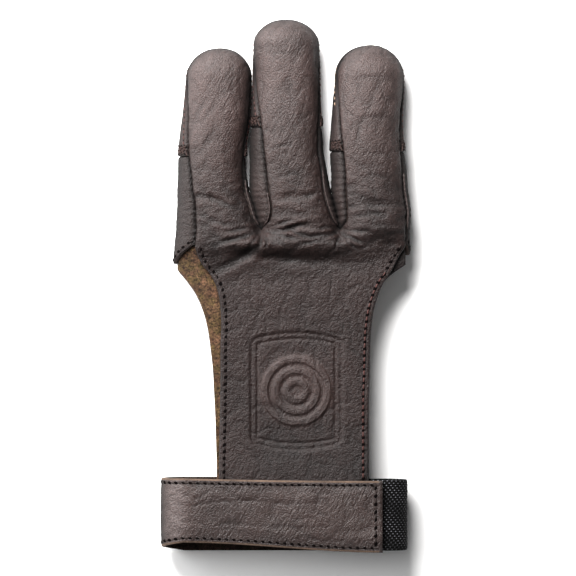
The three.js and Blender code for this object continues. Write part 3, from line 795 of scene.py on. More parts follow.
# Near black: painted shade on the strap's inner face, inside the loop
FLESH_SIDE_PAINTED_SHADE = suede_finish("flesh_side_painted_shade", (0.022, 0.014, 0.01))
SUEDE_EDGE = raw_edge_finish("suede_cut_edge", (0.2, 0.13, 0.06))
WEBBING = webbing_finish("black_webbing", (0.0035, 0.0035, 0.0038))
DARK_THREAD = thread_finish("dark_thread", (0.016, 0.0095, 0.008))
RED_THREAD = thread_finish("red_brown_thread", (0.055, 0.021, 0.018))
TACK_THREAD = thread_finish("tack_thread", (0.026, 0.013, 0.0105))
PALE_THREAD = thread_finish("pale_thread", (0.2, 0.14, 0.1))
# Black: painted shade in the needle holes
HOLE_SHADE = thread_finish("needle_hole_painted_shade", (0.003, 0.002, 0.002), roughness=1.0, gloss=0.05)


# Meshes from sheets
def in_scene(name, data):
    holder = bpy.data.objects.new(name, data)
    bpy.context.scene.collection.objects.link(holder)
    return holder


def add_piece(name, mesh, node=None):
    """Adds a mesh to the scene as a piece of the glove, with the node it takes the place of."""
    piece = in_scene(name, mesh)
    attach(piece, "root")
    if node:
        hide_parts(node)
    return piece


def smooth_mesh(name, points, polygons, finishes, marks):
    """A smoothly shaded mesh of points in millimetres, with a value of each mark for each point."""
    mesh = bpy.data.meshes.new(name)
    mesh.from_pydata(((points + ORIGIN) * MM).tolist(), [], polygons)
    for finish in finishes:
        mesh.materials.append(finish)
    mesh.polygons.foreach_set("use_smooth", [True] * len(polygons))
    for label, values in marks.items():
        mesh.attributes.new(label, "FLOAT", "POINT").data.foreach_set("value", values)
    return mesh


def wall_object(name, node, points, inner, faces, border, finishes, marks, weave=None):
    """A closed wall from its outer and inner points. Its finishes are the outer one, the
    inner one and that of its cut edge."""
    count = len(points)
    polygons = [list(face) for face in faces]
    polygons += [[v + count for v in face[::-1]] for face in faces]
    polygons += [[a, a + count, b + count, b] for a, b in border]
    both_sides = {label: np.append(values, np.full(count, 0.5)) for label, values in marks.items()}
    mesh = smooth_mesh(name, np.concatenate([points, inner]), polygons, finishes, both_sides)
    index = np.repeat([0, 1, 2], [len(faces), len(faces), len(border)])
    mesh.polygons.foreach_set("material_index", index.tolist())
    if weave is not None:
        layer = mesh.uv_layers.new(name="weave")
        corner = np.empty(len(mesh.loops), int)
        mesh.loops.foreach_get("vertex_index", corner)
        layer.data.foreach_set("uv", weave[corner % count].ravel())
    mesh.update()
    mesh.set_sharp_from_angle(angle=math.radians(58))
    return add_piece(name, mesh, node)


def below(y):
    """Tells of a point whether it lies nearer the wrist than y."""
    return lambda point: point[1] < y


def finished_wall(name, node, sheet, thickness, finishes, is_hem, relief,
                  roll=SEAM_ROLL, lift=0.0, grain=0.5, pressed_in=None, edge_band=None, painted_light_and_shade=None):
    """A leather piece: its sheet with rounded edges and relief, given its thickness. Where the
    edge band says so, the outermost faces have the finish of the cut edge too."""
    points = np.array(sheet.points)
    normals = normals_of(points, sheet.faces)
    border = border_of(sheet.faces)
    rim = np.unique(np.array(border).ravel())
    hem_points = [points[v] for v in rim if is_hem(points[v])]
    seam_points = [points[v] for v in rim if not is_hem(points[v])]
    height = relief(points, normals) + lift
    if seam_points:
        depth = roll[1] * (1 + 0.18 * np.sin(turns(points[:, 1], PUCKER_SPACING)))
        height = height + rounded_edge(nearest(points, seam_points), roll[0], depth)
    if hem_points:
        height = height + rounded_edge(nearest(points, hem_points), *HEM_ROLL)
    # Swell and rise drive the painted highlight and shade in the leather's colour
    marks = {
        "swell": 0.5 + np.clip(height - lift, -0.6, 0.6) * 0.5,
        "rise": np.abs(normals[:, 2]),
        "grain": grain(points) if callable(grain) else np.full(len(points), grain),
    }
    # Extra swell given here adds painted highlight, as along the strap's fold
    if painted_light_and_shade:
        marks["swell"] = marks["swell"] + painted_light_and_shade(points)
    if pressed_in:
        height = height + pressed_in(points)
    outer = points + normals * height[:, None]
    outer[:, 2] = np.maximum(outer[:, 2], 0)
    inner = points - normals * thickness
    piece = wall_object(name, node, outer, inner, sheet.faces, border, finishes, marks)
    if edge_band:
        on_rim = set(rim.tolist())
        for polygon, face in zip(piece.data.polygons, sheet.faces):
            if on_rim.intersection(face) and edge_band(points[face[0]]):
                polygon.material_index = 2
    return piece, outer, normals


# The back: three finger backs and the hand's panel in one piece
def knuckle_zone(points):
    """1 on the knuckles, falling to 0 along the fingers and down the panel."""
    y = points[:, 1]
    return smooth(34, 10, y) * smooth(-20, -9, y)


def stamp_relief(points):
    """A plain pressed design: a framed field set into the leather, with a ring target."""
    x = points[:, 0] - STAMP_CENTRE[0]
    y = points[:, 1] - STAMP_CENTRE[1]
    arch = STAMP_ARCH * (1 - np.clip(np.abs(x) / (STAMP_WIDTH / 2), 0, 1) ** 2)
    past_side = np.abs(x) - STAMP_WIDTH / 2 + STAMP_CORNER
    past_end = np.abs(y) - STAMP_LENGTH / 2 - arch + STAMP_CORNER
    past_corner = np.hypot(np.maximum(past_side, 0), np.maximum(past_end, 0))
    outside = past_corner + np.minimum(np.maximum(past_side, past_end), 0) - STAMP_CORNER

    # The field is set in, with a line pressed along its border and another inside it
    height = -0.34 * smooth(0.35, -0.35, outside)
    height -= 0.3 * bell(outside - 0.1, 0.5)
    height -= 0.34 * bell(outside + 2.3, 0.45)
    away = np.hypot(x, y)
    for outer, inner in STAMP_RINGS:
        height += 0.5 * smooth(outer + 0.3, outer - 0.3, away) * smooth(inner - 0.3, inner + 0.3, away)
    return height


def back_relief(points, normals):
    """Swells and creases: most on the knuckles, the finest slanting along the fingers."""
    knuckles = knuckle_zone(points)
    lean = np.stack([points[:, 0] - 0.45 * points[:, 1], points[:, 1], points[:, 2]], 1)
    on_panel = smooth(-12, -30, points[:, 1])
    on_fingers = smooth(14, 30, points[:, 1])
    height = crease_field(points + ORIGIN, CREASES)
    height += 0.45 * noise_field(points, size=24, seed=7) * on_panel
    height += 0.28 * noise_field(points, size=11, seed=1) * (0.5 + 0.5 * knuckles)
    height += 0.16 * noise_field(points, size=4.2, seed=2, stretch=(1, 1.4, 1)) * (0.3 + 0.7 * knuckles)
    height -= 0.16 * ridges(points, size=9, seed=3, stretch=(0.8, 1.5, 1)) * knuckles
    height -= 0.17 * ridges(points, size=3.4, seed=9, stretch=(0.6, 1.7, 1)) * knuckles
    height -= 0.15 * ridges(points, size=7, seed=14, stretch=(1.2, 0.8, 1), sharp=9) * (1 - knuckles)
    height -= 0.13 * ridges(lean, size=4.5, seed=17, stretch=(1.2, 0.3, 1), sharp=7) * on_fingers
    return height


def back_grain(points):
    """Pebbled on the panel, smooth on the fingers and where the rings are pressed."""
    away = np.hypot(points[:, 0] - STAMP_CENTRE[0], points[:, 1] - STAMP_CENTRE[1])
    pressed_smooth = 0.45 * smooth(14.4, 12.6, away)
    return 0.22 + 0.78 * smooth(60, -18, points[:, 1]) - pressed_smooth


def back_stalls():
    grids = {}
    for stall, size in STALL_SIZES.items():
        places = along_stall(stall, 0, size["length"])
        grid = stall_patch(stall, places, 0, 1, BACK_COLUMNS)
        grids[stall] = drawn_to_crotches(grid, stall, on_back=True)
    return grids


def hem_drop(part, share):
    if part == "left":
        return mix(NOTCH_DROP, HEM_DROP["index"], np.minimum(2 * share, 1))
    if part == "right":
        return mix(HEM_DROP["ring"], NOTCH_DROP, np.maximum(2 * share - 1, 0))
    corner = mix(HEM_DROP["index"], HEM_DROP["ring"], share)
    return corner + (PALM_LENGTH - corner) * np.sin(share * np.pi)


def seam_point(stall, side, y):
    share = table_value(SECTIONS[stall], side, y / STALL_SIZES[stall]["length"])
    return stall_point(stall, y, seam_angle(share))


def hand_back_rows(crotch_row, shares):
    """Rows of the back between the crotches and the notches."""
    span = crotch_row[-1, 0] - crotch_row[0, 0]
    across = (crotch_row[:, 0] - crotch_row[0, 0]) / span
    notch = np.array(-NOTCH_DROP)
    seam_mean = (seam_point("index", "left", notch)[2] + seam_point("ring", "right", notch)[2]) / 2
    crown = 4 * across * (1 - across) * (STALL_SIZES["middle"]["height"] - SETTLE - seam_mean)

    # The dips at the crotches melt away below them into a row of averaged heights
    reach = 5
    span_columns = 2 * reach + 1
    padded = np.pad(crotch_row[:, 2], reach, mode="reflect", reflect_type="odd")
    soft = np.convolve(padded, np.full(span_columns, 1 / span_columns), mode="valid")
    rows = []
    for share in shares:
        start = seam_point("ring", "right", np.array(-NOTCH_DROP * share))
        end = seam_point("index", "left", np.array(-NOTCH_DROP * share))
        x = mix(start[0], end[0], across)
        y = crotch_row[:, 1] * (1 - share) - NOTCH_DROP * share
        settled = mix(start[2], end[2], across) + crown
        melted = mix(crotch_row[:, 2], soft, min(3 * share, 1))
        rows.append(np.stack([x, y, mix(melted, settled, share)], 1))
    return np.array(rows)


def panel_rows(notch_row):
    """Rows of the panel from the notches down to its end under the strap, closest together
    over the pressed design, and how far down the hand each lies."""
    reach = HAND_LENGTH - NOTCH_DROP
    places = np.concatenate([
        np.arange(0, 16, 0.5),
        np.arange(16, 30, ROW_STEP),
        np.arange(30, 76, STAMP_STEP),
        np.arange(76, reach + 2, ROW_STEP),
        np.arange(reach + 2, reach + PANEL_TUCK, 2.0),
        [reach + PANEL_TUCK],
    ])
    at = places / reach
    right_notch, left_notch = notch_row[0, 0], notch_row[-1, 0]
    shares = (notch_row[:, 0] - left_notch) / (right_notch - left_notch)
    left_edge = mix(PANEL_RIGHT - PANEL_WIDTH, left_notch, table_value(PANEL, "left", at))
    right_edge = mix(PANEL_RIGHT, right_notch, table_value(PANEL, "right", at))
    knuckle = table_value(PANEL, "knuckle", at)[:, None]
    wrist = table_value(PANEL, "wrist", at)[:, None]
    x = mix(left_edge[:, None], right_edge[:, None], shares[None, :])
    y = -NOTCH_DROP - places[:, None] + 0 * x
    z = knuckle * notch_row[None, :, 2] + wrist * WRIST_HEIGHT + (1 - knuckle - wrist) * PANEL_HEIGHT
    return np.stack([x, y, z], -1), at


def pressed(grid):
    grid = grid.copy()
    grid[..., 2] -= fold_depth(grid[..., 0], grid[..., 1]) * (grid[..., 1] > STRAP_TOP)
    return grid


def make_back():
    stalls = back_stalls()
    crotch_row = np.concatenate([stalls["ring"][0], stalls["middle"][0][1:], stalls["index"][0][1:]])
    notch_rows = hand_back_rows(crotch_row, np.linspace(0, 1, 10))
    panel, at = panel_rows(notch_rows[-1])
    sheet = Sheet()
    for grid in stalls.values():
        sheet.add(pressed(grid))
    sheet.add(pressed(notch_rows)[::-1])
    panel_ids = sheet.add(pressed(panel)[::-1])[::-1]
    _, outer, normals = finished_wall(
        "back_panel_leather", "back_panel", sheet, LEATHER,
        (BACK_LEATHER, SUEDE_FINISH, CUT_EDGE), below(-NOTCH_DROP - 0.01), back_relief,
        grain=back_grain, pressed_in=stamp_relief,
    )
    return dict(outer=outer, normals=normals, base=np.array(sheet.points), ids=panel_ids, at=at)


# The fingers' sides, fronts and tips
def side_relief(points, normals):
    """Side strips gather crosswise, most of all near the crotch."""
    near = smooth(34, 0, points[:, 1]) * (points[:, 1] > -14)
    uneven = 2.2 * noise_field(points, size=5, seed=21)
    gathers = np.sin(turns(points[:, 1], GATHER_SPACING) + uneven)
    deep = 0.4 + np.abs(noise_field(points, size=6, seed=22)) * 1.6
    return 0.2 * near * gathers * deep + 0.2 * noise_field(points, size=7, seed=23)


def outer_side_relief(points, normals):
    return 0.4 * side_relief(points, normals)


def inner_side_relief(points, normals):
    """Between two fingers the strips also swell until they meet near the crotch."""
    return side_relief(points, normals) + 0.42 * smooth(25, 11, points[:, 1])


def palm_relief(points, normals):
    """Swells where the palm's leather is off the table, and creases under the knuckles."""
    swells = 0.3 * noise_field(points, size=10, seed=31) + 0.12 * noise_field(points, size=4, seed=32)
    creases = 0.12 * ridges(points, size=6, seed=33) * knuckle_zone(points)
    return swells * (points[:, 2] > 0.3) - creases


def tip_relief(points, normals):
    return 0.18 * noise_field(points, size=9, seed=41) + 0.08 * noise_field(points, size=3.5, seed=42)


def make_tip_pads():
    for stall, size in STALL_SIZES.items():
        places = along_stall(stall, size["pad"], size["length"])
        sheet = Sheet()
        sheet.add(stall_patch(stall, places, 1, 4, PAD_COLUMNS))
        finished_wall(
            f"{stall}_tip_pad_leather", f"{stall}_tip_pad", sheet, TIP_LEATHER,
            (TIP_FINISH, SUEDE_FINISH, CUT_EDGE), below(size["pad"] + 0.01), tip_relief, lift=0.12,
        )


def side_wall(node, sheet, is_hem, relief):
    finished_wall(
        f"{node}_leather", node, sheet, LEATHER,
        (SIDE_LEATHER, SUEDE_FINISH, CUT_EDGE), is_hem, relief, roll=SIDE_ROLL,
    )


def hem_point(stall, share, y):
    """A point of an outer side, at a share of the way from its back seam to its palm seam."""
    (first, last), _ = OUTER_SIDES[stall]
    corners = seams(stall, y)
    return stall_point(stall, y, mix(corners[first], corners[last], share))


def hem_rows(stall, columns, rows):
    """A side gusset between the crotch line and its slanting hem."""
    share = np.linspace(0, 1, columns + 1)
    drop = hem_drop(OUTER_SIDES[stall][1], share)
    return np.array([hem_point(stall, share, -drop * down) for down in np.linspace(1, 0, rows + 1)])


def gusset_hem(stall):
    """Tells of a point of a side gusset whether it lies on its hem."""
    line = hem_rows(stall, 40, 1)[0]

    def is_hem(point):
        i = int(np.argmin(np.hypot(line[:, 0] - point[0], line[:, 2] - point[2])))
        return point[1] < -0.2 and abs(point[1] - line[i, 1]) < 0.25

    return is_hem


def make_side_gussets():
    for stall, (seam_pair, _) in OUTER_SIDES.items():
        places = along_stall(stall, 0, STALL_SIZES[stall]["pad"])
        sheet = Sheet()
        sheet.add(stall_patch(stall, places, *seam_pair, SIDE_COLUMNS))
        sheet.add(hem_rows(stall, SIDE_COLUMNS, 18))
        side_wall(f"{stall}_side_gusset", sheet, gusset_hem(stall), outer_side_relief)


def make_fourchettes():
    for left, right in (("index", "middle"), ("middle", "ring")):
        shared = crotch_column(left, right, SIDE_COLUMNS)
        sheet = Sheet()
        for stall, seam_pair, crotch in ((left, (3, 4), shared[::-1]), (right, (1, 2), shared)):
            places = along_stall(stall, 0, STALL_SIZES[stall]["pad"])
            side = stall_patch(stall, places, *seam_pair, SIDE_COLUMNS)
            sheet.add(side + (crotch - side[0]) * near_crotch(side))
        side_wall(f"{left}_{right}_fourchette", sheet, lambda point: False, inner_side_relief)


def make_palm():
    sheet = Sheet()
    low_row = []
    for stall, size in STALL_SIZES.items():
        places = along_stall(stall, 0, size["pad"], step=1.0)
        grid = stall_patch(stall, places, 2, 3, PALM_COLUMNS)
        grid = drawn_to_crotches(grid, stall, on_back=False)
        sheet.add(grid)
        low_row.append(grid[0] if stall == "index" else grid[0][1:])
    above = np.concatenate(low_row)
    across = (above[:, 0] - above[0, 0]) / (above[-1, 0] - above[0, 0])
    rows = []
    for down in np.linspace(1, 0, 22):
        start = palm_corner("index", 2, down)
        end = palm_corner("ring", 3, down)
        x = mix(start[0], end[0], across)
        y = above[:, 1] * (1 - down) - hem_drop("palm", across) * down
        bow = np.minimum(12 * across * (1 - across), 1)
        settled = mix(start[2], end[2], across) - bow * STALL_SIZES["middle"]["height"]
        rows.append(np.stack([x, y, np.maximum(mix(above[:, 2], settled, down), 0)], 1))
    sheet.add(np.array(rows))
    finished_wall(
        "palm_panel_leather", "palm_panel", sheet, LEATHER,
        (SIDE_LEATHER, SUEDE_FINISH, CUT_EDGE), below(-8), palm_relief,
    )


def palm_corner(stall, seam, down):
    y = np.array(-HEM_DROP[stall] * down)
    return stall_point(stall, y, seams(stall, y)[seam])


# The suede behind the panel
def suede_edge(stall, y, side):
    """How far out the suede can reach inside an outer stall's side, on the left (-1) or right (1)."""
    down = np.clip((-y - NOTCH_DROP) / (HEM_DROP[stall] - NOTCH_DROP), 0, 1)
    column = "left" if side < 0 else "right"
    seam = seam_angle(table_value(SECTIONS[stall], column, y / STALL_SIZES[stall]["length"]))
    angle = mix(seam, np.pi if side < 0 else 0.0, down)
    return stall_point(stall, y, angle)[..., 0] - side * SUEDE_HEM_GAP


def make_suede(back):
    # The suede needs fewer points than the leather: each second row and third column
    ids = back["ids"][3::2, ::3]
    at = back["at"][3::2]
    base = back["base"][ids]
    normals = back["normals"][ids]
    middle_grid = base - normals * (LEATHER + SEAM_GAP)
    y = middle_grid[:, -1, 1]
    right = middle_grid[:, 0]
    left = middle_grid[:, -1]
    flare = SUEDE_FLARE * table_value(PANEL, "suede", at)
    left_reach = np.minimum(flare, left[:, 0] - suede_edge("index", y, -1))
    short_flare = SUEDE_MARGIN + SUEDE_FLARE * 2 * table_value(PANEL, "knuckle", at)
    right_reach = np.minimum(short_flare, suede_edge("ring", y, 1) - right[:, 0])
    shares = np.linspace(1, 0, 17)[:-1]

    def wing(end, side, reach):
        out = reach[:, None] * shares[None, :]
        droop = SUEDE_DROOP * (np.maximum(out, 0) / SUEDE_FLARE) ** 1.5
        x = end[:, None, 0] + side * out
        return np.stack([x, end[:, None, 1] + 0 * x, end[:, None, 2] - droop], -1)

    left_wing = wing(left, -1, left_reach)[:, ::-1]
    sheet = Sheet()
    sheet.add(np.concatenate([wing(right, 1, right_reach), middle_grid, left_wing], 1)[::-1])
    # Grain 1.0 darkens the leather-faced right wing: painted shade beside the panel's right edge
    piece, outer, _ = finished_wall(
        "suede_lining_nap", "suede_lining", sheet, SUEDE,
        (SUEDE_FINISH, SUEDE_FINISH, SUEDE_EDGE, SIDE_LEATHER), lambda point: True, suede_relief,
        grain=1.0,
    )
    # The short wing on the right is faced with the leather of the side gusset
    for polygon in piece.data.polygons:
        vertex = polygon.vertices[0]
        if vertex < len(outer) and outer[vertex, 0] > PANEL_OFFSET:
            polygon.material_index = 3


def suede_relief(points, normals):
    """Only the free wing on the left ripples. Behind the panel the suede lies against it."""
    free = smooth(-24.5, -28.5, points[:, 0]) * smooth(-6, -12, points[:, 1])
    ripples = 0.35 * noise_field(points, size=12, seed=51) + 0.1 * noise_field(points, size=4, seed=52)
    return free * ripples


# The wrist strap and the elastic
def loop_path(top_start, fold, top, bottom, bottom_end, side, step):
    """The way of a band along the top, round a fold and back below: for each row of points
    its x and z, its share of the front and its share of the turn."""
    radius = (top - bottom) / 2
    turn_x = fold - side * radius
    front = np.linspace(0, 1, round(abs(turn_x - top_start) / step) + 1)
    x = mix(top_start, turn_x, front)
    rows = [np.stack([x, np.full_like(x, top), front, 0 * x], 1)]
    angle = np.linspace(0, math.pi, round(math.pi * radius / step) + 1)[1:-1]
    arc_x = turn_x + side * radius * np.sin(angle)
    arc_z = bottom + radius + radius * np.cos(angle)
    rows.append(np.stack([arc_x, arc_z, 1 + 0 * angle, angle / math.pi], 1))
    x = np.linspace(turn_x, bottom_end, round(abs(bottom_end - turn_x) / step) + 1)
    rows.append(np.stack([x, np.full_like(x, bottom), 1 + 0 * x, 1 + 0 * x], 1))
    return np.concatenate(rows)


def band(path, upper, lower, columns):
    """A band's grid of points along a path, and for each of them how far it lies along the
    band and across it."""
    share = np.linspace(0, 1, columns + 1)
    y = mix(upper[:, None], lower[:, None], share[None, :])
    grid = np.stack([path[:, 0:1] + 0 * y, y, path[:, 1:2] + 0 * y], -1)
    walk = distances(path[:, :2])
    place = np.stack([walk[:, None] + 0 * y, (upper - lower)[:, None] * share[None, :]], -1)
    return grid, walk, place


def make_strap():
    back_end = LOOP_LEFT + STRAP_BACK_REACH
    path = loop_path(STRAP_END, LOOP_LEFT, LOOP_HEIGHT, 0.0, back_end, side=-1, step=0.62)
    front, turn = path[:, 2], path[:, 3]
    narrowing = STRAP_TAPER * front * front * (3 - 2 * front) * (1 - turn)
    upper = STRAP_TOP + 0.25 * STRAP_TAPER * front * front
    lower = STRAP_TOP - STRAP_WIDTH + narrowing
    grid, walk, placed = band(path, upper, lower, STRAP_COLUMNS)
    sheet = Sheet()
    ids = sheet.add(grid)
    along, across, full = np.zeros((3, len(sheet.points)))
    along[ids] = placed[..., 0]
    across[ids] = placed[..., 1]
    full[ids] = (upper - lower)[:, None]

    def relief(points, normals):
        """A stitched groove round a padded middle, with two lines pressed along it. The
        underside stays flat."""
        off_table = points[:, 2] > 1
        inset = np.minimum(across, full - across)
        pulled = 0.6 + 0.4 * np.cos(turns(along, STRAP_STITCH_PITCH))
        padding = smooth(2.2, 5.5, inset) * (1 + noise_field(points, size=14, seed=61))
        creases = ridges(points, size=6, seed=63, stretch=(0.7, 1.3, 1), sharp=8) * smooth(2, 4, inset)
        raised = 0.22 * padding + 0.08 * noise_field(points, size=5, seed=62) - 0.16 * creases
        height = -0.2 * bell(inset - STRAP_STITCH_INSET, 0.55) * pulled + raised * off_table
        span = smooth(-28, -22, points[:, 0]) * smooth(14, 8, points[:, 0]) * (points[:, 2] > 8)
        for share in (0.33, 0.69):
            height -= 0.14 * span * bell(across / full - share, 1 / 45)
        return np.where(off_table, height, np.minimum(height, 0))

    _, outer, normals = finished_wall(
        "wrist_strap_leather", "wrist_strap", sheet, STRAP,
        (STRAP_LEATHER, FLESH_SIDE_PAINTED_SHADE, STRAP_EDGE), lambda point: True, relief,
        edge_band=lambda point: point[0] < STRAP_END - 0.8,
        # A painted highlight along the strap's fold on the left
        painted_light_and_shade=lambda points: 0.5 * bell(points[:, 0] - LOOP_LEFT - 6, 4.5),
    )
    return dict(outer=outer[ids], normals=normals[ids], walk=walk, width=upper - lower, turn=turn)


def make_elastic():
    start = PANEL_RIGHT + ELASTIC_PAST_PANEL
    fold = LOOP_RIGHT - ELASTIC_INSET
    end = LOOP_LEFT + STRAP_BACK_REACH - ELASTIC_BACK_LAP
    path = loop_path(start, fold, WRIST_HEIGHT, STRAP + SEAM_GAP, end, side=1, step=0.7)
    upper = STRAP_TOP + ELASTIC_INSET + 0 * path[:, 0]
    grid, _, placed = band(path, upper, upper - ELASTIC_WIDTH, ELASTIC_COLUMNS)
    sheet = Sheet()
    ids = sheet.add(grid[::-1])[::-1]
    weave = np.zeros((len(sheet.points), 2))
    weave[ids] = placed
    points = np.array(sheet.points)
    normals = normals_of(points, sheet.faces)
    ribs = 0.06 * np.cos(turns(weave[:, 1], ELASTIC_WIDTH / RIBS))
    inset = np.minimum(weave[:, 1], ELASTIC_WIDTH - weave[:, 1])
    uneven = 0.1 * noise_field(points, size=8, seed=71)
    height = ribs + rounded_edge(inset, *WEBBING_ROLL) + uneven
    wall_object(
        "elastic_band_webbing", "elastic_band",
        points + normals * height[:, None], points - normals * ELASTIC, sheet.faces,
        border_of(sheet.faces), (WEBBING, WEBBING, WEBBING), {}, weave,
    )


# Stitches
STITCH_SIZES = ("Pitch", "Length", "Thread", "Rise", "Hole")


def stitch_tree(name, finish):
    """Geometry nodes that set a stitch, and a needle hole after it, at each pitch of a line."""
    tree = bpy.data.node_groups.new(name, "GeometryNodeTree")
    face = tree.interface
    face.new_socket("Line", in_out="INPUT", socket_type="NodeSocketGeometry")
    for label in STITCH_SIZES:
        face.new_socket(label, in_out="INPUT", socket_type="NodeSocketFloat")
    face.new_socket("Stitches", in_out="OUTPUT", socket_type="NodeSocketGeometry")
    make = node_maker(tree)

    def times(value, factor):
        return make("ShaderNodeMath", {0: value, 1: factor}, operation="MULTIPLY").outputs[0]

    given = make("NodeGroupInput")
    line = make("GeometryNodeMeshToCurve", {"Mesh": given.outputs["Line"]})
    marks = make("GeometryNodeResampleCurve", {"Curve": line.outputs["Curve"],
                                               "Length": given.outputs["Pitch"]}, mode="LENGTH")
    up = make("GeometryNodeInputNamedAttribute", {"Name": "up"}, data_type="FLOAT_VECTOR")
    tangent = make("GeometryNodeInputTangent")
    turn = make("FunctionNodeAxesToRotation", {"Primary Axis": tangent.outputs["Tangent"],
                                               "Secondary Axis": up.outputs["Attribute"]},
                primary_axis="X", secondary_axis="Z")

    # The thread dips into the leather at both ends and rises between them
    sunk = times(given.outputs["Rise"], -0.8)
    start = make("ShaderNodeCombineXYZ", {"X": times(given.outputs["Length"], -0.5), "Z": sunk})
    top = make("ShaderNodeCombineXYZ", {"Z": times(given.outputs["Rise"], 1.4)})
    stop = make("ShaderNodeCombineXYZ", {"X": times(given.outputs["Length"], 0.5), "Z": sunk})
    arch = make("GeometryNodeCurveQuadraticBezier", {"Resolution": 6, "Start": start.outputs[0],
                                                     "Middle": top.outputs[0], "End": stop.outputs[0]})
    section = make("GeometryNodeCurvePrimitiveCircle", {"Resolution": 6,
                                                        "Radius": given.outputs["Thread"]})
    thread = make("GeometryNodeCurveToMesh", {"Curve": arch.outputs["Curve"],
                                              "Profile Curve": section.outputs["Curve"], "Fill Caps": True})
    thread_set = make("GeometryNodeSetMaterial", {"Geometry": thread.outputs["Mesh"], "Material": finish})

    # A squeezed black ball, half a pitch on, stands for the needle hole: painted shade in its recess
    ball = make("GeometryNodeMeshUVSphere", {"Segments": 10, "Rings": 6, "Radius": given.outputs["Hole"]})
    squeezed = make("GeometryNodeTransform", {"Geometry": ball.outputs["Mesh"], "Scale": (1.2, 0.8, 0.26)})
    middle = make("ShaderNodeCombineXYZ", {"X": times(given.outputs["Pitch"], 0.5)})
    placed = make("GeometryNodeTransform", {"Geometry": squeezed.outputs["Geometry"],
                                            "Translation": middle.outputs[0],
                                            "Rotation": (0, 0, -0.35)})
    hole_set = make("GeometryNodeSetMaterial", {"Geometry": placed.outputs["Geometry"],
                                                "Material": HOLE_SHADE})
    both = make("GeometryNodeJoinGeometry")
    for part in (hole_set, thread_set):
        tree.links.new(part.outputs["Geometry"], both.inputs["Geometry"])
    laid = make("GeometryNodeInstanceOnPoints", {"Points": marks.outputs["Curve"],
                                                 "Instance": both.outputs["Geometry"],
                                                 "Rotation": turn.outputs["Rotation"]})
    real = make("GeometryNodeRealizeInstances", {"Geometry": laid.outputs["Instances"]})
    make("NodeGroupOutput", {"Stitches": real.outputs["Geometry"]})
    return tree


def socket_id(tree, label):
    return next(item.identifier for item in tree.interface.items_tree if item.name == label)


def sew(name, routes, tree, pitch=STITCH_PITCH, length=1.5, thread=0.24, rise=0.16, hole=0.7):
    """Sews stitches along routes, each a list of points and the directions away from the
    leather there. Thread and hole are radii, and all five sizes are in millimetres."""
    points, ups, edges = [], [], []
    for route, normals in routes:
        first = len(points)
        points += [tuple((np.array(p) + ORIGIN) * MM) for p in route]
        ups += [tuple(n) for n in normals]
        edges += [(first + i, first + i + 1) for i in range(len(route) - 1)]
    line = bpy.data.meshes.new(name + "_line")
    line.from_pydata(points, edges, [])
    up = line.attributes.new("up", "FLOAT_VECTOR", "POINT")
    up.data.foreach_set("vector", np.array(ups).ravel())
    carrier = in_scene(name + "_line", line)
    modifier = carrier.modifiers.new("stitches", "NODES")
    modifier.node_group = tree
    for label, value in zip(STITCH_SIZES, (pitch, length, thread, rise, hole)):
        modifier[socket_id(tree, label)] = value * MM
    evaluated = carrier.evaluated_get(bpy.context.evaluated_depsgraph_get())
    mesh = bpy.data.meshes.new_from_object(evaluated)
    mesh.name = name
    bpy.data.objects.remove(carrier)
    bpy.data.meshes.remove(line)
    mesh.polygons.foreach_set("use_smooth", [True] * len(mesh.polygons))
    add_piece(name, mesh)


def row_point(points, distance):
    """The place at a distance along a row of points: the point before it, and how far on
    towards the next one it lies."""
    walk = distances(points)
    i = int(np.clip(np.searchsorted(walk, distance) - 1, 0, len(points) - 2))
    t = float(np.clip((distance - walk[i]) / max(walk[i + 1] - walk[i], 1e-9), 0, 1))
    return i, t


def panel_stitch_routes(back):
    """The stitch lines down the panel's left and right edges, set in by the same distance."""
    routes = []
    for ids in (back["ids"][:, ::-1], back["ids"]):
        route, ups = [], []
        for row in ids[2::2]:
            if back["outer"][row[0], 1] < STRAP_TOP + 1.0:
                break
            i, t = row_point(back["base"][row], STITCH_INSET)
            route.append(mix(back["outer"][row[i]], back["outer"][row[i + 1]], t))
            ups.append(mix(back["normals"][row[i]], back["normals"][row[i + 1]], t))
        routes.append((route, ups))
    return routes


def strap_stitch_routes(strap):
    """Round the strap: along both long edges and down its free end on the right."""
    grid, normals = strap["outer"], strap["normals"]
    columns = grid.shape[1] - 1
    start = int(np.searchsorted(strap["walk"], STRAP_STITCH_INSET + 0.4))
    end = int(np.searchsorted(strap["turn"], 0.8))
    routes = []
    for far in (False, True):
        route, ups = [], []
        for i in range(start, end):
            place = STRAP_STITCH_INSET / strap["width"][i] * columns
            place = columns - place if far else place
            j, t = int(place), place - int(place)
            route.append(mix(grid[i, j], grid[i, j + 1], t))
            ups.append(mix(normals[i, j], normals[i, j + 1], t))
        routes.append((route, ups))
    spacing = strap["width"][start] / columns
    first = round(STRAP_STITCH_INSET / spacing)
    last = columns - round((STRAP_STITCH_INSET + STRAP_STITCH_PITCH) / spacing)
    routes.append((list(grid[start, first:last]), list(normals[start, first:last])))
    return routes


def stall_frame(stall, y, angle, lift):
    """A point of a stall at a height above its skin, and the direction outwards there."""
    step = 0.01
    point = stall_point(stall, np.array(y), np.array(angle))
    along = stall_point(stall, np.array(y + step), np.array(angle)) - point
    around = stall_point(stall, np.array(y), np.array(angle + step)) - point
    normal = np.cross(around, along)
    normal = normal / np.linalg.norm(normal)
    if normal[2] * math.sin(angle) + normal[0] * math.cos(angle) < 0:
        normal = -normal
    return point + normal * lift, normal


def seam_angle_at(stall, side, y):
    return float(seams(stall, np.array(float(y)))[0 if side == "right" else 1])


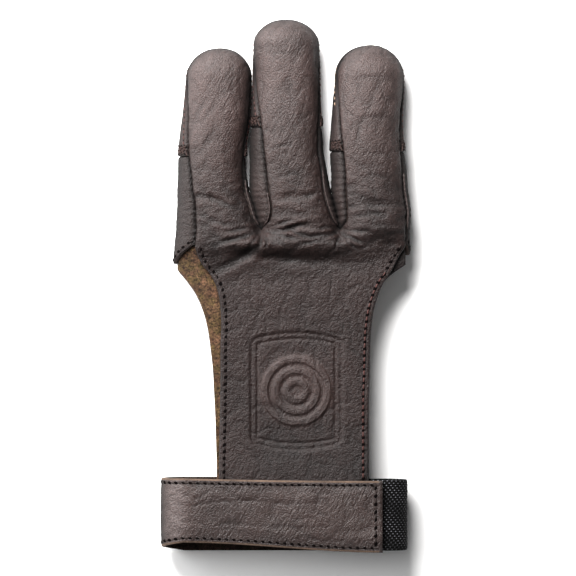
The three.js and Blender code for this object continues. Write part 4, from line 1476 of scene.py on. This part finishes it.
def beyond_seam(stall, side, y, reach):
    """The angle on a stall that lies so many millimetres beyond a back seam, on its side."""
    turn = -1 if side == "right" else 1
    angle = seam_angle_at(stall, side, y)
    last = stall_point(stall, np.array(y), np.array(angle))
    gone = 0.0
    while gone < abs(reach):
        angle += turn * math.copysign(0.01, reach)
        point = stall_point(stall, np.array(y), np.array(angle))
        gone += float(np.linalg.norm(point - last))
        last = point
    return angle


def line_on_stall(stall, places, lift):
    """A route on a stall through places given as y, side of the back and reach beyond its seam."""
    framed = [
        stall_frame(stall, y, beyond_seam(stall, side, y, reach), lift)
        for y, side, reach in places
    ]
    return [point for point, _ in framed], [normal for _, normal in framed]


def tack_routes(stall, side):
    """The rows of a bar tack across a side strip, on the tip pad's lower border, and the
    zigzag between them."""
    start = STALL_SIZES[stall]["pad"]
    near, far = 0.1, 4.6
    rows = []
    for up in (0.5, 2.1, 3.7):
        places = [(start + up, side, reach) for reach in np.linspace(near, far, 24)]
        rows.append(line_on_stall(stall, places, 0.34))
    zigzag = []
    reaches = np.linspace(near, far, 7)
    for i in range(len(reaches) - 1):
        for t in (0, 0.33, 0.67):
            up = mix(0.7, 3.5, t) if i % 2 == 0 else mix(3.5, 0.7, t)
            zigzag.append((start + up, side, mix(reaches[i], reaches[i + 1], t)))
    return rows, [line_on_stall(stall, zigzag, 0.42)]


def pad_seam_route(stall, side, start=4.6, end=0.7):
    """Beside a tip pad's seam with the back: from so many millimetres above the pad's lower
    border to so large a share of the rounding before the fingertip."""
    size = STALL_SIZES[stall]
    ys = np.arange(size["pad"] + start, size["length"] - size["rounding"] * end, 0.8)
    return line_on_stall(stall, [(y, side, 1.5) for y in ys], 0.14)


def gusset_hem_route(stall):
    """Above the slanting hem of an outer side gusset."""
    (first, last), part = OUTER_SIDES[stall]
    points, ups = [], []
    for share in np.linspace(0.06, 0.78, 26):
        y = 1.7 - float(hem_drop(part, share))
        corners = seams(stall, np.array(y))
        angle = float(mix(corners[first], corners[last], share))
        point, normal = stall_frame(stall, y, angle, -0.05)
        points.append(point)
        ups.append(normal)
    return points, ups


# High swell gives the welts a painted highlight along their ridges, and full rise keeps painted flank shade
# off them
WELT_MARKS = {"swell": 0.85, "rise": 1.0, "grain": 0.0}


def piping(name, stall, side, start, end, radius=0.34):
    """The turned edge that stands up along a seam, as a thin welt."""
    ys = np.linspace(start, end, 40)
    centres, ups = (np.array(part) for part in line_on_stall(stall, [(y, side, 0.35) for y in ys], 0.0))
    tangents = np.gradient(centres, axis=0)
    tangents /= np.linalg.norm(tangents, axis=1, keepdims=True)
    across = np.cross(tangents, ups)
    corners = 10
    angle = np.linspace(0, 2 * np.pi, corners, endpoint=False)[:, None]
    beads = 1 + 0.2 * np.sin(turns(ys, BEAD_SPACING))
    thick = radius * beads * np.minimum(1, np.minimum(ys - start, end - ys) + 0.2)
    ring = across[:, None] * np.cos(angle) + ups[:, None] * np.sin(angle)
    points = (centres[:, None] + ring * thick[:, None, None]).reshape(-1, 3)
    rings = np.arange(len(points)).reshape(len(ys), corners)
    following = np.roll(rings, -1, axis=1)
    faces = np.stack([rings[:-1], rings[1:], following[1:], following[:-1]], -1).reshape(-1, 4).tolist()
    faces += [rings[0].tolist(), rings[-1, ::-1].tolist()]
    marks = {label: np.full(len(points), value) for label, value in WELT_MARKS.items()}
    add_piece(name, smooth_mesh(name, points, faces, [SIDE_LEATHER], marks))


def make_stitches(back, strap):
    dark = stitch_tree("dark_stitch", DARK_THREAD)
    red = stitch_tree("red_stitch", RED_THREAD)
    pale = stitch_tree("pale_stitch", PALE_THREAD)
    tack = stitch_tree("tack_stitch", TACK_THREAD)
    left, right = panel_stitch_routes(back)
    split = next(i for i, point in enumerate(right[0]) if point[1] < RED_STITCHES_FROM)
    upper_right = (right[0][:split], right[1][:split])
    lower_right = (right[0][split:], right[1][split:])
    sew("panel_stitches", [left, upper_right], dark)
    sew("red_panel_stitches", [lower_right], red, length=1.7, thread=0.3, rise=0.24)
    sew("strap_stitches", strap_stitch_routes(strap), dark, pitch=STRAP_STITCH_PITCH, length=1.7)
    rows, zigzags = [], []
    for stall in STALL_SIZES:
        for side in ("left", "right"):
            across, zigzag = tack_routes(stall, side)
            rows += across
            zigzags += zigzag
    sew("tack_rows", rows, dark, pitch=1.3, length=0.7, thread=0.2, rise=0.2, hole=0.36)
    sew("tack_zigzags", zigzags, tack, pitch=1.3, length=1.35, thread=0.22, rise=0.14, hole=0.05)
    plain_seams = (("index", "left"), ("index", "right"), ("middle", "left"), ("middle", "right"),
                   ("ring", "right"))
    sew("pad_seam_stitches", [pad_seam_route(stall, side) for stall, side in plain_seams], red,
        pitch=2.0, length=0.9, thread=0.17, rise=0.12, hole=0.3)
    sew("pale_seam_stitches", [pad_seam_route("ring", "left", start=17)], pale,
        pitch=2.0, length=0.9, thread=0.2, rise=0.14, hole=0.3)
    sew("gusset_hem_stitches", [gusset_hem_route("index"), gusset_hem_route("ring")], dark)
    piping("index_welt", "index", "right", 1.0, 17.5)
    piping("middle_left_welt", "middle", "left", 0.8, 13.0, radius=0.28)
    piping("middle_right_welt", "middle", "right", 1.0, 21.0)
    piping("ring_welt", "ring", "right", 0.0, 20.0)


# The camera, straight above, and the studio
def make_camera():
    """The camera, at the photo's scale for a plane a little below the glove's top."""
    camera = bpy.data.cameras.new("camera")
    holder = in_scene("camera", camera)
    low, high = cad_box
    distance = 1.5
    below_top = 0.004
    pixel = PHOTO_PIXEL * MM
    x = (low.x + high.x) / 2 + (PHOTO_SIDE / 2 - PHOTO_CENTRE[0]) * pixel
    y = (low.y + high.y) / 2 - (PHOTO_SIDE / 2 - PHOTO_CENTRE[1]) * pixel
    holder.location = (x, y, high.z + distance)
    camera.sensor_width = 36.0
    camera.lens = camera.sensor_width * (distance + below_top) / (PHOTO_SIDE * pixel)
    camera.clip_start = 0.05
    camera.clip_end = 20.0
    bpy.context.scene.camera = holder


def area_light(name, place, target, size, power, colour):
    light = bpy.data.lights.new(name, "AREA")
    light.shape = "RECTANGLE"
    light.size, light.size_y = size
    light.energy = power
    light.color = colour
    holder = in_scene(name, light)
    holder.location = place
    holder.rotation_euler = (Vector(target) - Vector(place)).to_track_quat("-Z", "Y").to_euler()


def make_studio():
    """A white floor just under the glove, a key light beyond the fingertips and a softer one
    on the left."""
    floor_mesh = bpy.data.meshes.new("floor")
    side = 3.0
    level = cad_box[0].z - 0.0003
    corners = [(x * side, y * side, level) for x, y in ((-1, -1), (1, -1), (1, 1), (-1, 1))]
    floor_mesh.from_pydata(corners, [], [(0, 1, 2, 3)])
    material, make = new_material("pale_floor")
    surface(make, {"Base Color": (0.97, 0.97, 0.97, 1), "Roughness": 0.9})
    floor_mesh.materials.append(material)
    floor = in_scene("floor", floor_mesh)
    area_light("key", (-0.13, 0.31, 0.31), (0, 0.03, 0), (0.3, 0.2), power=7.4, colour=(1, 0.99, 0.98))
    area_light("left", (-0.5, 0.1, 0.3), (0, 0, 0), (0.4, 0.4), power=4.4, colour=(1, 1, 1))
    world = bpy.data.worlds.new("studio")
    world.use_nodes = True
    background = world.node_tree.nodes["Background"]
    background.inputs["Color"].default_value = (1, 1, 1, 1)
    background.inputs["Strength"].default_value = 0.23
    bpy.context.scene.world = world
    bpy.context.scene.view_settings.view_transform = "Standard"
    bpy.context.scene.view_settings.gamma = 0.88


make_camera()
back = make_back()
make_tip_pads()
make_side_gussets()
make_fourchettes()
make_palm()
make_suede(back)
strap = make_strap()
make_elastic()
make_stitches(back, strap)
make_studio()
